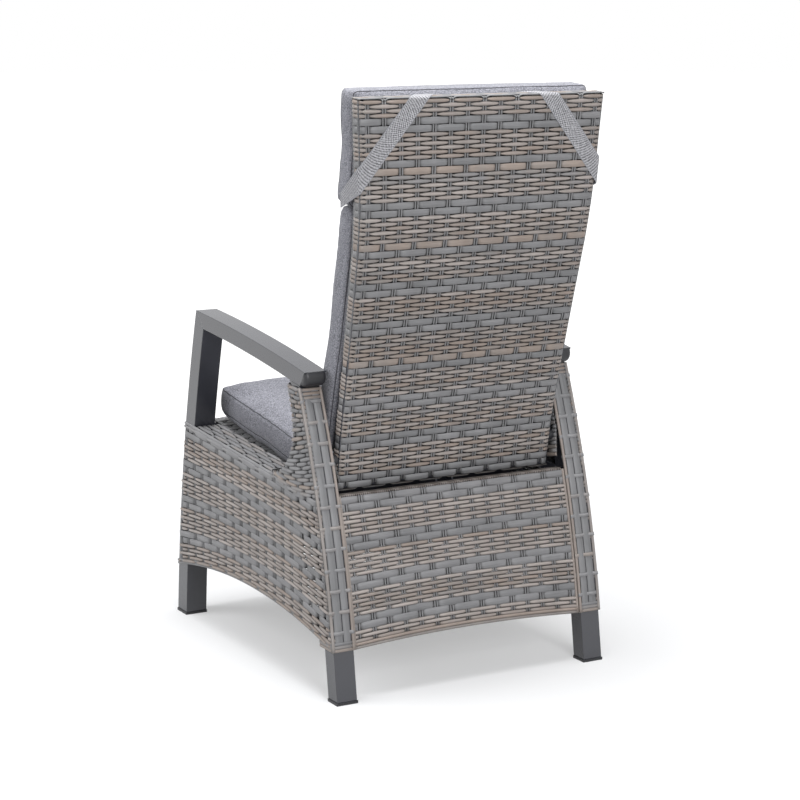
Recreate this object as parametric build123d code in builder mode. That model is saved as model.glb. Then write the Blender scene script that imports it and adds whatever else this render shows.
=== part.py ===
from build123d import *

import math
import os

os.makedirs("parts", exist_ok=True)

# The chair faces -Y and stands on Z = 0, and the sitter's left is +X.
# Overall sizes, measured over the metal of the two side frames.
metal_width = 598.0
foot_spread = 743.0
weave = 4.0
tube_wall = 2.0
fit = 0.3
running = 0.05
overrun = 40.0
sides = {"left": 1, "right": -1}

# Front leg: one bowed tube from the floor to the mitre with the armrest.
front_leg_width = 46.0
front_leg_depth = 45.0
front_leg_setback = 122.5
front_leg_bow = 19.0
arm_front_height = 671.0

# Armrest: a slightly arched tube with a slanted rear end and a nose cap.
arm_height = 32.0
arm_length = 494.0
arm_drop = 55.0
arm_bow = 5.8
arm_end_slant = 20.0
mitre_steps = 20
nose_reach = 12.8
nose_corner = 8.0

# Rear leg: bowed from the armrest down to the knee, straight below it.
rear_leg_width = 42.0
rear_leg_depth = 36.0
knee_height = 98.0
knee_setback = 14.0
rear_leg_top_drop = 81.0
rear_leg_top_setback = 151.0
rear_leg_bow = 15.6
foot_cap_rim = 1.8
foot_cap_height = 5.0
foot_plug_height = 14.0

# Woven side panel, seen from the side.
panel_top_front_drop = 3.0
panel_top_fall = 29.0
fillet_run = 103.0
fillet_rise_share = 0.4615
fillet_bow = 26.0
fillet_start_gap = 27.0
column_top_depth = 53.0
column_bow = 6.0
panel_front_bottom_height = 104.0
panel_rear_bottom_height = 98.0
panel_bottom_arch = 40.5
panel_ledge_width = 59.0
panel_lip = 24.0
panel_hem = 24.0
end_panel_arch = 10.0
rear_panel_recess = 6.0
rear_lip_drop = 38.0
column_wall_run = 44.0

# Tubes of the seat frame.
rail_height = 20.0
lower_rail_width = 20.0
seat_tube = 20.0
front_cross_depth = 25.0
front_cross_height = 25.0
rear_cross_depth = 20.0
rear_cross_height = 50.0
low_cross = 20.0
low_cross_lift = 14.0

# Woven seat deck, which slopes down to the rear.
deck_front_height = 430.0
deck_slope = 8.0
deck_length = 468.0
rear_deck_tube_height = 16.0
deck_overhang = 4.0
deck_side_gap = 0.5

# Backrest, measured on its rear woven face and up along it.
back_bottom_drop = 46.5
back_bottom_inset = 35.56
lower_lean = 8.8
back_lean = 14.5
head_lean = 4.1
lower_length = 102.2
back_length = 439.2
head_length = 221.8
back_bend_radius = 1000.0
back_side_gap = 12.5
back_flare_width = 55.0
back_flare_bow = 5.7
back_edge_radius = 5.0
back_thickness = 33.0
back_tube = 25.0
middle_rail_shares = (0.38, 0.66)

# Recline hinge and gas spring.
pivot_rise = 61.5
hinge_bolt_radius = 5.0
hinge_head_radius = 8.5
hinge_head_height = 5.5
hinge_bush_radius = 11.0
crank_length = 145.0
crank_width = 26.0
crank_plate = 4.0
crank_gap = 32.0
crank_slot_room = 1.2
pin_radius = 4.0
pin_side_play = 1.0
pin_slide = 8.5
anchor_setback = 318.0
anchor_drop = 113.0
head_width = 28.0
head_front = 14.0
head_rear = 26.0
head_corner = 5.0
anchor_screw_depth = 6.0
anchor_screw_head = 7.0
anchor_screw_cap = 4.0
rod_radius = 5.0
cylinder_radius = 14.0
cylinder_wall = 1.5
cylinder_length = 165.0
cylinder_neck = 42.0
gland_length = 9.0
piston_length = 12.0
neck_radius = 6.0
eye_radius = 10.0
eye_width = 30.0
pin_cap = 3.0
pin_cap_radius = 7.0
cheek = 4.0
cheek_radius = 14.0

# Release shaft, lever and plunger.
shaft_radius = 5.0
shaft_setback = 40.0
shaft_drop = 14.0
finger_width = 10.0
finger_thickness = 7.0
finger_overlap = 7.0
finger_hub_radius = 7.5
release_pin_radius = 3.0
release_pin_reach = 27.0
release_pin_length = 45.0
release_gap = 1.0
release_pin_chamfer = 1.0
lever_bush_radius = 11.0
lever_flange = 6.0
lever_flange_radius = 15.0
lever_thickness = 4.0
lever_length = 92.0
lever_hub_radius = 11.0
lever_tip_radius = 7.0
lever_rise = 12.0
grip_length = 52.0
grip_wall = 3.0

# Cushions and straps.
seat_cushion_side_gap = 5.0
seat_cushion_length = 458.0
seat_cushion_setback = 25.0
seat_seam_low = 20.0
seat_seam_high = 74.0
seat_crown_height = 90.0
back_cushion_side_gap = 4.5
head_cushion_inset = 14.0
back_seam_low = 9.0
back_seam_high = 60.0
back_crown_height = 77.0
back_cushion_start = 62.0
cushion_fold_at = 553.0
head_cushion_length = 219.0
cushion_gap = 2.0
cushion_draw = 4.0
cushion_edge = 14.0
cushion_edge_bow = 2.0
side_bulge = 3.0
# Along a cushion: where each section lies, how far its sides draw in and how full its crown is.
cushion_shares = (
    (0.0, 1.6, 0.1),
    (0.03, 0.4, 0.5),
    (0.1, 0.05, 0.86),
    (0.25, 0.4, 0.97),
    (0.5, 1.0, 1.0),
    (0.75, 0.4, 0.97),
    (0.9, 0.05, 0.86),
    (0.97, 0.4, 0.5),
    (1.0, 1.6, 0.1),
)
strap_width = 33.0
strap_thickness = 1.2
strap_top_inset = 128.0
strap_slope = 1.2
strap_clear = 0.5
strap_side_reach = 73.0
strap_side_drop = 41.0
strap_end_width = 29.0

# Places that several pieces share, as (depth, height) pairs of the side view.
metal_x = metal_width / 2
panel_x = metal_x + weave
panel_inner_x = metal_x - panel_ledge_width
front_leg_x = metal_x - front_leg_width
rear_leg_x = metal_x - rear_leg_width
column_inner_x = rear_leg_x - weave
back_bottom_width = 2 * (column_inner_x - back_side_gap)
back_top_width = back_bottom_width + back_flare_width
strap_top_x = back_top_width / 2 - strap_top_inset
seat_cushion_width = 2 * (panel_inner_x - seat_cushion_side_gap)
back_cushion_width = 2 * (column_inner_x - back_cushion_side_gap)
head_cushion_width = back_top_width - 2 * head_cushion_inset
panel_top_front_height = deck_front_height - panel_top_front_drop
panel_top_rear_height = panel_top_front_height - panel_top_fall
back_bottom_height = deck_front_height - back_bottom_drop
pivot_height = back_bottom_height + pivot_rise
rear_leg_top_height = arm_front_height - rear_leg_top_drop
front_foot_y = -foot_spread / 2
rear_foot_y = foot_spread / 2
arm_corner = (front_foot_y + front_leg_setback, arm_front_height)
arm_rear = (arm_corner[0] + arm_length, arm_front_height - arm_drop)
knee = (rear_foot_y - knee_setback, knee_height)
rear_leg_top = (rear_foot_y - rear_leg_top_setback, rear_leg_top_height)


def circle_of(start, end, bow):
    """Centre and radius of the arc from start to end that stands bow off its chord, to the left above 0."""
    run, rise = end[0] - start[0], end[1] - start[1]
    chord = math.hypot(run, rise)
    radius = (chord * chord / 4 + bow * bow) / (2 * abs(bow))
    back = math.copysign(radius, bow) - bow
    middle = ((start[0] + end[0]) / 2, (start[1] + end[1]) / 2)
    return (middle[0] + rise / chord * back, middle[1] - run / chord * back, radius)


def bow_middle(start, end, bow):
    """The point of that arc over the middle of its chord."""
    run, rise = end[0] - start[0], end[1] - start[1]
    chord = math.hypot(run, rise)
    return ((start[0] + end[0] - 2 * rise / chord * bow) / 2, (start[1] + end[1] + 2 * run / chord * bow) / 2)


def front_leg_y(height):
    """Depth of the front leg's front face at a height."""
    y, z, radius = circle_of((front_foot_y, 0), arm_corner, front_leg_bow)
    return y - math.sqrt(radius**2 - (height - z) ** 2)


deck_front_y = front_leg_y(deck_front_height) + fit


def rear_leg_y(height):
    """Depth of the rear leg's rear face at a height."""
    if height < knee_height:
        return rear_foot_y - knee_setback * height / knee_height
    y, z, radius = circle_of(knee, rear_leg_top, -rear_leg_bow)
    return y + math.sqrt(radius**2 - (height - z) ** 2)


back_bottom_y = rear_leg_y(back_bottom_height) - back_bottom_inset
hinge_depth = (weave + back_tube / 2) / math.cos(math.radians(lower_lean))
back_rise = pivot_rise * math.tan(math.radians(lower_lean))
pivot = (back_bottom_y + back_rise - hinge_depth, pivot_height)
crank_end = (pivot[0], pivot_height - crank_length)
anchor = (pivot[0] - anchor_setback, pivot_height - anchor_drop)


def arm_top_z(depth):
    """Height of the armrest's top face at a depth."""
    y, z, radius = circle_of(arm_corner, arm_rear, arm_bow)
    return z + math.sqrt(radius**2 - (depth - y) ** 2)


def deck_z(depth):
    """Height of the deck's woven top at a depth."""
    return deck_front_height - math.tan(math.radians(deck_slope)) * (depth - deck_front_y)


def lean_step(lean):
    """Unit step up along a face that leans back by an angle, as (depth, height)."""
    return (math.sin(math.radians(lean)), math.cos(math.radians(lean)))


def back_corners(depth):
    """The four corners of the backrest's side line, depth in front of its rear face."""
    leans = (lower_lean, lower_lean, back_lean, head_lean, head_lean)
    lengths = (lower_length, back_length, head_length)
    corners = [(back_bottom_y, back_bottom_height)]
    for length, lean in zip(lengths, leans[1:4]):
        step = lean_step(lean)
        corners.append((corners[-1][0] + length * step[0], corners[-1][1] + length * step[1]))
    moved = []
    for place, below, above in zip(corners, leans[:4], leans[1:]):
        turn = lean_step((below + above) / 2)
        reach = depth / math.cos(math.radians((above - below) / 2))
        moved.append((place[0] - reach * turn[1], place[1] + reach * turn[0]))
    return moved


def back_point(along, depth):
    """A point up the backrest's bent side line at a depth in front of its rear face, and its lean there."""
    corners = back_corners(depth)
    leans = (lower_lean, back_lean, head_lean)
    first = math.dist(corners[0], corners[1])
    bends = (first, first + math.dist(corners[1], corners[2]))
    section = sum(along > bend for bend in bends)
    run = along - (0, *bends)[section]
    lean = leans[section]
    step = lean_step(lean)
    place = (corners[section][0] + run * step[0], corners[section][1] + run * step[1])
    for bend, below, above in zip(bends, leans, leans[1:]):
        radius = back_bend_radius + math.copysign(depth, above - below)
        reach = radius * math.tan(math.radians(abs(above - below) / 2))
        short = reach - abs(along - bend)
        if short > 0:
            turn = lean_step((below + above) / 2)
            inward = math.copysign(short**2 / (2 * radius), above - below)
            place = (place[0] + inward * turn[1], place[1] - inward * turn[0])
            lean = below + (above - below) * (along - bend + reach) / (2 * reach)
    return place, lean


def back_station(along, depth):
    """Section plane across the backrest at a point up it, with its y axis towards the sitter."""
    place, lean = back_point(along, depth)
    step = lean_step(lean)
    origin = side_view.from_local_coords((place[0], place[1], 0))
    return Plane(origin=origin, x_dir=(1, 0, 0), z_dir=(0, -step[0], -step[1]))


def back_half(height):
    """Half the backrest's width at a height: its sides flare out in a shallow curve."""
    low, high = (back_bottom_width / 2, back_bottom_height), (back_top_width / 2, back_top_height)
    x, z, radius = circle_of(low, high, back_flare_bow)
    return x - math.sqrt(radius**2 - (height - z) ** 2)


# The box's middle on the floor is the origin, so every piece is drawn on planes shifted to it.
back_top = back_corners(0)[-1]
back_top_height = back_top[1]
lever_reach = lever_flange + lever_thickness + grip_wall + fit
box_front = front_foot_y - foot_cap_rim
box_rear = back_top[0] + strap_clear + strap_thickness
centre_x = lever_reach / 2
centre_y = -(box_front + box_rear) / 2
side_view = Plane(origin=(centre_x, centre_y, 0), x_dir=(0, 1, 0), z_dir=(1, 0, 0))
front_view = Plane(origin=(centre_x, centre_y, 0), x_dir=(1, 0, 0), z_dir=(0, -1, 0))
plan_view = Plane(origin=(centre_x, centre_y, 0))
deck_lean = lean_step(deck_slope)
deck_plane = Plane(
    origin=side_view.from_local_coords((deck_front_y, deck_front_height, 0)),
    x_dir=(1, 0, 0),
    z_dir=(0, deck_lean[0], deck_lean[1]),
)
rear_cross_y = rear_leg_y(back_bottom_height - weave) - rear_panel_recess - fit - rear_cross_depth
front_cross_y = front_leg_y(panel_top_front_height) + fit


def front_leg_strip(inset):
    """Side view of the front leg, past both ends, its two long faces moved in by an inset."""
    low, high = -overrun, arm_front_height + overrun
    middle = (low + high) / 2
    with BuildSketch(Plane.XY, mode=Mode.PRIVATE) as strip:
        with BuildLine():
            ThreePointArc(*[(front_leg_y(z) + inset, z) for z in (low, middle, high)])
            Line((front_leg_y(high) + inset, high), (front_leg_y(high) + front_leg_depth - inset, high))
            ThreePointArc(*[(front_leg_y(z) + front_leg_depth - inset, z) for z in (high, middle, low)])
            Line((front_leg_y(low) + front_leg_depth - inset, low), (front_leg_y(low) + inset, low))
        make_face()
    return strip.sketch


def rear_leg_strip(rear, front):
    """Side view of a strip past both ends of the rear leg, between two offsets from its rear face."""
    high = rear_leg_top_height + overrun
    middle = (knee_height + high) / 2
    with BuildSketch(Plane.XY, mode=Mode.PRIVATE) as strip:
        with BuildLine():
            Line((rear_leg_y(-overrun) + rear, -overrun), (knee[0] + rear, knee_height))
            ThreePointArc(*[(rear_leg_y(z) + rear, z) for z in (knee_height, middle, high)])
            Line((rear_leg_y(high) + rear, high), (rear_leg_y(high) + front, high))
            ThreePointArc(*[(rear_leg_y(z) + front, z) for z in (high, middle, knee_height)])
            Line((knee[0] + front, knee_height), (rear_leg_y(-overrun) + front, -overrun))
            Line((rear_leg_y(-overrun) + front, -overrun), (rear_leg_y(-overrun) + rear, -overrun))
        make_face()
    return strip.sketch


def arm_strip(top, bottom):
    """Side view of a strip past both ends of the armrest, between two depths below its top face."""
    places = [arm_corner[0] - overrun, (arm_corner[0] + arm_rear[0]) / 2, arm_rear[0] + overrun]
    with BuildSketch(Plane.XY, mode=Mode.PRIVATE) as strip:
        with BuildLine():
            ThreePointArc(*[(y, arm_top_z(y) - top) for y in places])
            Line((places[2], arm_top_z(places[2]) - top), (places[2], arm_top_z(places[2]) - bottom))
            ThreePointArc(*[(y, arm_top_z(y) - bottom) for y in reversed(places)])
            Line((places[0], arm_top_z(places[0]) - bottom), (places[0], arm_top_z(places[0]) - top))
        make_face()
    return strip.sketch


# The mitre runs from the outer corner to where the leg's rear face meets the armrest's underside.
inner_corner = arm_corner
for step in range(mitre_steps):
    inner_corner_y = front_leg_y(inner_corner[1]) + front_leg_depth
    inner_corner = (inner_corner_y, arm_top_z(inner_corner_y) - arm_height)
mitre = Plane(
    origin=side_view.from_local_coords((arm_corner[0], arm_corner[1], 0)),
    x_dir=(1, 0, 0),
    z_dir=(0, arm_corner[1] - inner_corner[1], inner_corner[0] - arm_corner[0]),
)
arm_end_low = (arm_rear[0] - arm_end_slant, arm_top_z(arm_rear[0] - arm_end_slant) - arm_height)
arm_end = Plane(
    origin=side_view.from_local_coords((arm_rear[0], arm_rear[1], 0)),
    x_dir=(1, 0, 0),
    z_dir=(0, arm_rear[1] - arm_end_low[1], arm_end_low[0] - arm_rear[0]),
)

# Side frames: the welded, powder-coated tubes, one set each side.
for side, sign in sides.items():
    with BuildPart() as front_leg:
        with BuildSketch(side_view.offset(sign * front_leg_x)):
            add(front_leg_strip(0))
        extrude(amount=sign * front_leg_width)
        with BuildSketch(side_view.offset(sign * (front_leg_x + tube_wall))):
            add(front_leg_strip(tube_wall))
        extrude(amount=sign * (front_leg_width - 2 * tube_wall), mode=Mode.SUBTRACT)
        split(bisect_by=plan_view.offset(foot_cap_height), keep=Keep.TOP)
        split(bisect_by=mitre, keep=Keep.BOTTOM)
    front_leg.part.label = f"front_leg_{side}"
    export_step(front_leg.part, f"parts/front_leg_{side}.step")

    with BuildPart() as armrest:
        with BuildSketch(side_view.offset(sign * front_leg_x)):
            add(arm_strip(0, arm_height))
        extrude(amount=sign * front_leg_width)
        with BuildSketch(side_view.offset(sign * (front_leg_x + tube_wall))):
            add(arm_strip(tube_wall, arm_height - tube_wall))
        extrude(amount=sign * (front_leg_width - 2 * tube_wall), mode=Mode.SUBTRACT)
        split(bisect_by=mitre, keep=Keep.TOP)
        split(bisect_by=arm_end, keep=Keep.BOTTOM)
    armrest.part.label = f"armrest_{side}"
    export_step(armrest.part, f"parts/armrest_{side}.step")

    with BuildPart() as rear_leg:
        with BuildSketch(side_view.offset(sign * rear_leg_x)):
            add(rear_leg_strip(0, -rear_leg_depth))
        extrude(amount=sign * rear_leg_width)
        with BuildSketch(side_view.offset(sign * (rear_leg_x + tube_wall))):
            add(rear_leg_strip(-tube_wall, tube_wall - rear_leg_depth))
        extrude(amount=sign * (rear_leg_width - 2 * tube_wall), mode=Mode.SUBTRACT)
        split(bisect_by=plan_view.offset(foot_cap_height), keep=Keep.TOP)
        with BuildSketch(side_view.offset(sign * rear_leg_x)):
            add(arm_strip(-foot_spread, arm_height))
        extrude(amount=sign * rear_leg_width, mode=Mode.SUBTRACT)
        with BuildSketch(side_view.offset(sign * rear_leg_x)):
            with Locations(pivot):
                Circle(hinge_bolt_radius + running)
        extrude(amount=sign * tube_wall, mode=Mode.SUBTRACT)
    rear_leg.part.label = f"rear_leg_{side}"
    export_step(rear_leg.part, f"parts/rear_leg_{side}.step")

# Nose caps that close the armrests' rear ends.
with BuildPart() as arm_end_caps:
    for sign in sides.values():
        with BuildSketch(side_view.offset(sign * front_leg_x)):
            with BuildLine():
                ThreePointArc(arm_rear, bow_middle(arm_rear, arm_end_low, nose_reach), arm_end_low)
                Line(arm_end_low, arm_rear)
            make_face()
        extrude(amount=sign * front_leg_width)
    fillet(arm_end_caps.edges().filter_by(GeomType.CIRCLE), radius=nose_corner)
arm_end_caps.part.label = "armrest_end_caps"
export_step(arm_end_caps.part, "parts/armrest_end_caps.step")

# Plastic foot caps: a rim that stands slightly proud and a plug up the tube.
with BuildPart() as foot_caps:
    for sign in sides.values():
        front_x = sign * (metal_x - front_leg_width / 2)
        rear_x = sign * (metal_x - rear_leg_width / 2)
        feet = (
            (front_x, front_foot_y + front_leg_depth / 2, front_leg_width, front_leg_depth),
            (rear_x, rear_foot_y - rear_leg_depth / 2, rear_leg_width, rear_leg_depth),
        )
        for x, y, width, depth in feet:
            with BuildSketch(plan_view):
                with Locations((x, y)):
                    RectangleRounded(width + 2 * foot_cap_rim, depth + 2 * foot_cap_rim, foot_cap_rim)
            extrude(amount=foot_cap_height)
            with BuildSketch(plan_view.offset(foot_cap_height)):
                with Locations((x, y)):
                    inset = 2 * tube_wall + foot_cap_rim
                    Rectangle(width - 2 * inset, depth - 2 * inset)
            extrude(amount=foot_plug_height - foot_cap_height)
foot_caps.part.label = "foot_caps"
export_step(foot_caps.part, "parts/foot_caps.step")


def panel_top_z(depth):
    """Height of the side panel's woven top at a depth."""
    run = column_foot[0] - panel_front[0]
    return panel_front[1] - (panel_front[1] - column_foot[1]) * (depth - panel_front[0]) / run


def panel_bottom_z(depth):
    """Height of the side panel's arched bottom edge at a depth."""
    y, z, radius = circle_of(panel_front_low, panel_rear_low, panel_bottom_arch)
    return z + math.sqrt(radius**2 - (depth - y) ** 2)


# Corners of the woven side panel's outline.
panel_front = (front_leg_y(panel_top_front_height) - weave, panel_top_front_height)
panel_front_low = (front_leg_y(panel_front_bottom_height) - weave, panel_front_bottom_height)
panel_rear_low = (rear_leg_y(panel_rear_bottom_height) + weave, panel_rear_bottom_height)
column_foot = (rear_foot_y - rear_leg_top_setback - fillet_run - fillet_start_gap, panel_top_rear_height)
column_rear_top = rear_leg_y(rear_leg_top_height) + weave
column_front_top = column_rear_top - column_top_depth
column_rise = arm_top_z(column_front_top) - arm_height - column_foot[1]
column_waist = (column_foot[0] + fillet_run, column_foot[1] + fillet_rise_share * column_rise)


def panel_outline():
    """Side view of the woven side panel with the column that wraps the rear leg."""
    top_front = (column_front_top, arm_top_z(column_front_top) - arm_height)
    top_rear = (column_rear_top, arm_top_z(column_rear_top) - arm_height)
    leg_middle = (panel_front_bottom_height + panel_top_front_height) / 2
    rear_middle = (panel_rear_bottom_height + top_rear[1]) / 2
    with BuildSketch(Plane.XY, mode=Mode.PRIVATE) as outline:
        with BuildLine():
            ThreePointArc(panel_front_low, (front_leg_y(leg_middle) - weave, leg_middle), panel_front)
            Line(panel_front, column_foot)
            ThreePointArc(column_foot, bow_middle(column_foot, column_waist, -fillet_bow), column_waist)
            ThreePointArc(column_waist, bow_middle(column_waist, top_front, -column_bow), top_front)
            Line(top_front, top_rear)
            ThreePointArc(top_rear, (rear_leg_y(rear_middle) + weave, rear_middle), panel_rear_low)
            arch_middle = bow_middle(panel_rear_low, panel_front_low, -panel_bottom_arch)
            ThreePointArc(panel_rear_low, arch_middle, panel_front_low)
        make_face()
    return outline.sketch


def cross_box(place):
    """Side view of a cross tube from its low front corner, depth and height."""
    y, z, depth, height = place
    with BuildSketch(Plane.XY, mode=Mode.PRIVATE) as box:
        with Locations((y + depth / 2, z + height / 2)):
            Rectangle(depth, height)
    return box.sketch


# Cross tubes, each as its low front corner, depth and height in the side view.
deck_drop = weave / math.cos(math.radians(deck_slope)) + fit
front_cross_z = deck_z(front_cross_y + front_cross_depth) - deck_drop - front_cross_height
rear_cross_z = back_bottom_height - weave - fit - rear_cross_height
low_cross_z = panel_rear_bottom_height + low_cross_lift
low_front_y = front_leg_y(low_cross_z + low_cross) + fit
low_rear_y = rear_leg_y(low_cross_z + low_cross) - rear_panel_recess - fit - low_cross
cross_tubes = {
    "front_upper_cross_tube": (front_cross_y, front_cross_z, front_cross_depth, front_cross_height),
    "front_lower_cross_tube": (low_front_y, low_cross_z, low_cross, low_cross),
    "rear_upper_cross_tube": (rear_cross_y, rear_cross_z, rear_cross_depth, rear_cross_height),
    "rear_lower_cross_tube": (low_rear_y, low_cross_z, low_cross, low_cross),
}
for name, place in cross_tubes.items():
    half = front_leg_x if name.startswith("front") else rear_leg_x
    with BuildPart() as cross_tube:
        with BuildSketch(side_view.offset(-half)):
            add(cross_box(place))
            offset(amount=-tube_wall, mode=Mode.SUBTRACT)
        extrude(amount=2 * half)
    cross_tube.part.label = name
    export_step(cross_tube.part, f"parts/{name}.step")

# Side rails: a wide flat tube under the panel's top and an arched one along its bottom edge.
for side, sign in sides.items():
    for level in ("upper", "lower"):
        with BuildSketch(Plane.XY, mode=Mode.PRIVATE) as rail_side:
            places = [front_leg_y(knee_height) + front_leg_depth / 2, 0, knee[0] - rear_leg_depth / 2]
            with BuildLine():
                if level == "upper":
                    places[2] = rear_leg_y(column_foot[1]) - rear_leg_depth / 2
                    places[0] = front_leg_y(panel_top_front_height) + front_leg_depth / 2
                    heights = [panel_top_z(y) - weave - fit - rail_height for y in places]
                    Polyline(
                        (places[0], heights[0]),
                        (places[2], heights[2]),
                        (places[2], heights[2] + rail_height),
                        (places[0], heights[0] + rail_height),
                        close=True,
                    )
                else:
                    heights = [panel_bottom_z(y) + weave + fit for y in places]
                    ThreePointArc(*zip(places, heights))
                    Line((places[2], heights[2]), (places[2], heights[2] + rail_height))
                    ThreePointArc(*zip(reversed(places), [z + rail_height for z in reversed(heights)]))
                    Line((places[0], heights[0] + rail_height), (places[0], heights[0]))
            make_face()
        width = rear_leg_width if level == "upper" else lower_rail_width
        with BuildPart() as side_rail:
            with BuildSketch(side_view.offset(sign * (metal_x - width))):
                add(rail_side.sketch)
            extrude(amount=sign * width)
            with BuildSketch(side_view.offset(sign * (metal_x - width + tube_wall))):
                add(rail_side.sketch)
                offset(amount=-tube_wall)
            extrude(amount=sign * (width - 2 * tube_wall), mode=Mode.SUBTRACT)
            with BuildSketch(side_view.offset(sign * (metal_x - width))):
                add(front_leg_strip(0))
                add(rear_leg_strip(0, -rear_leg_depth))
            extrude(amount=sign * width, mode=Mode.SUBTRACT)
        side_rail.part.label = f"{level}_side_rail_{side}"
        export_step(side_rail.part, f"parts/{level}_side_rail_{side}.step")

# Woven side panels: an outer sheet, wraps round every edge, a lip beside the seat and a wall by the rear leg.
shaft = (anchor[0] - shaft_setback, anchor[1] - shaft_drop)
for side, sign in sides.items():
    with BuildSketch(Plane.XY, mode=Mode.PRIVATE) as wrap:
        add(panel_outline())
        offset(amount=-weave, mode=Mode.SUBTRACT)
    with BuildSketch(Plane.XY, mode=Mode.PRIVATE) as ledge:
        add(wrap.sketch)
        with BuildLine():
            Polyline(
                (front_foot_y - overrun, -overrun),
                (column_waist[0] - fillet_run / 2, -overrun),
                (column_waist[0] - fillet_run / 2, arm_front_height),
                (front_foot_y - overrun, arm_front_height),
                close=True,
            )
        make_face(mode=Mode.INTERSECT)
    with BuildSketch(Plane.XY, mode=Mode.PRIVATE) as lip:
        with BuildLine():
            end = column_waist[0] - fillet_run / 2
            Polyline(
                (panel_front[0] + weave, panel_top_z(panel_front[0] + weave) - weave),
                (end, panel_top_z(end) - weave),
                (end, panel_top_z(end) - panel_lip),
                (panel_front[0] + weave, panel_top_z(panel_front[0] + weave) - panel_lip),
                close=True,
            )
        make_face()
    with BuildSketch(Plane.XY, mode=Mode.PRIVATE) as inner_wall:
        add(panel_outline())
        add(rear_leg_strip(weave, -rear_leg_depth - column_wall_run), mode=Mode.INTERSECT)
    with BuildSketch(Plane.XY, mode=Mode.PRIVATE) as open_bottom:
        with BuildLine():
            start, stop = panel_front[0] + 2 * front_leg_depth, knee[0] - 2 * rear_leg_depth
            middle = (start + stop) / 2
            rise = weave + fit
            ThreePointArc(*[(y, panel_bottom_z(y) + rise) for y in (start, middle, stop)])
            low_stop, low_start = panel_bottom_z(stop) + rise, panel_bottom_z(start) + rise
            Polyline((stop, low_stop), (stop, 0), (start, 0), (start, low_start))
        make_face()
    with BuildPart() as side_panel:
        with BuildSketch(side_view.offset(sign * metal_x)):
            add(panel_outline())
        extrude(amount=sign * weave)
        with BuildSketch(side_view.offset(sign * (rear_leg_x - weave))):
            add(wrap.sketch)
        extrude(amount=sign * (rear_leg_width + weave))
        with BuildSketch(side_view.offset(sign * panel_inner_x)):
            add(ledge.sketch)
        extrude(amount=sign * (rear_leg_x - weave - panel_inner_x))
        with BuildSketch(side_view.offset(sign * panel_inner_x)):
            add(lip.sketch)
        extrude(amount=sign * weave)
        with BuildSketch(side_view.offset(sign * (rear_leg_x - weave))):
            add(inner_wall.sketch)
        extrude(amount=sign * weave)
        with BuildSketch(side_view.offset(sign * (panel_inner_x - weave))):
            add(open_bottom.sketch)
        extrude(amount=sign * (metal_x - panel_hem - panel_inner_x + weave), mode=Mode.SUBTRACT)
        with BuildSketch(side_view.offset(sign * front_leg_x)):
            add(front_leg_strip(0))
        extrude(amount=sign * front_leg_width, mode=Mode.SUBTRACT)
        with BuildSketch(side_view.offset(sign * rear_leg_x)):
            add(rear_leg_strip(0, -rear_leg_depth))
        extrude(amount=sign * rear_leg_width, mode=Mode.SUBTRACT)
        for place in cross_tubes.values():
            with BuildSketch(side_view.offset(sign * (panel_inner_x - weave))):
                add(cross_box(place))
            extrude(amount=sign * (rear_leg_x - panel_inner_x + weave), mode=Mode.SUBTRACT)
        with BuildSketch(side_view.offset(sign * (rear_leg_x - weave))):
            with Locations(pivot):
                Circle(hinge_bush_radius + fit)
        extrude(amount=sign * weave, mode=Mode.SUBTRACT)
        if side == "right":
            with BuildSketch(side_view.offset(sign * metal_x)):
                with Locations(shaft):
                    Circle(lever_bush_radius + fit)
            extrude(amount=sign * weave, mode=Mode.SUBTRACT)
    side_panel.part.label = f"side_panel_{side}"
    export_step(side_panel.part, f"parts/side_panel_{side}.step")


# Woven end panels between the side panels, in front and behind.
rear_outer = weave - rear_panel_recess
rear_lip_depth = 2 * weave + 2 * fit + rear_cross_depth
end_panels = {
    "front_panel": (panel_inner_x - fit, panel_front_bottom_height, deck_front_height),
    "rear_panel": (rear_leg_x - weave - fit, panel_rear_bottom_height, back_bottom_height),
}
for name, (half, low, high) in end_panels.items():
    middle = (low + high) / 2
    with BuildSketch(Plane.XY, mode=Mode.PRIVATE) as sheet:
        with BuildLine():
            heights = (low, middle, high)
            if name == "front_panel":
                outer, inner = [[(front_leg_y(z) - gap, z) for z in heights] for gap in (weave, 0)]
            else:
                faces = (rear_outer, rear_outer - weave)
                outer, inner = [[(rear_leg_y(z) + face, z) for z in heights] for face in faces]
            ThreePointArc(*outer)
            Line(outer[2], inner[2])
            ThreePointArc(*reversed(inner))
            Line(inner[0], outer[0])
        make_face()
        if name == "rear_panel":
            top = (rear_leg_y(high) + rear_outer, high)
            with Locations((top[0] - rear_lip_depth / 2, high - weave / 2)):
                Rectangle(rear_lip_depth, weave)
            with Locations((top[0] - rear_lip_depth + weave / 2, high - rear_lip_drop / 2)):
                Rectangle(weave, rear_lip_drop)
    with BuildPart() as end_panel:
        with BuildSketch(side_view.offset(-half)):
            add(sheet.sketch)
        extrude(amount=2 * half)
        with BuildSketch(front_view):
            with BuildLine():
                ThreePointArc((-half, low), (0, low + end_panel_arch), (half, low))
                Line((half, low), (-half, low))
            make_face()
        extrude(amount=foot_spread, both=True, mode=Mode.SUBTRACT)
    end_panel.part.label = name
    export_step(end_panel.part, f"parts/{name}.step")

# Woven seat deck and the tubes under it.
deck_half = panel_inner_x - deck_side_gap
with BuildPart() as seat_deck:
    with BuildSketch(deck_plane):
        with Locations((0, deck_length / 2)):
            Rectangle(2 * deck_half, deck_length)
    extrude(amount=-weave)
seat_deck.part.label = "seat_deck"
export_step(seat_deck.part, "parts/seat_deck.step")

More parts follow.
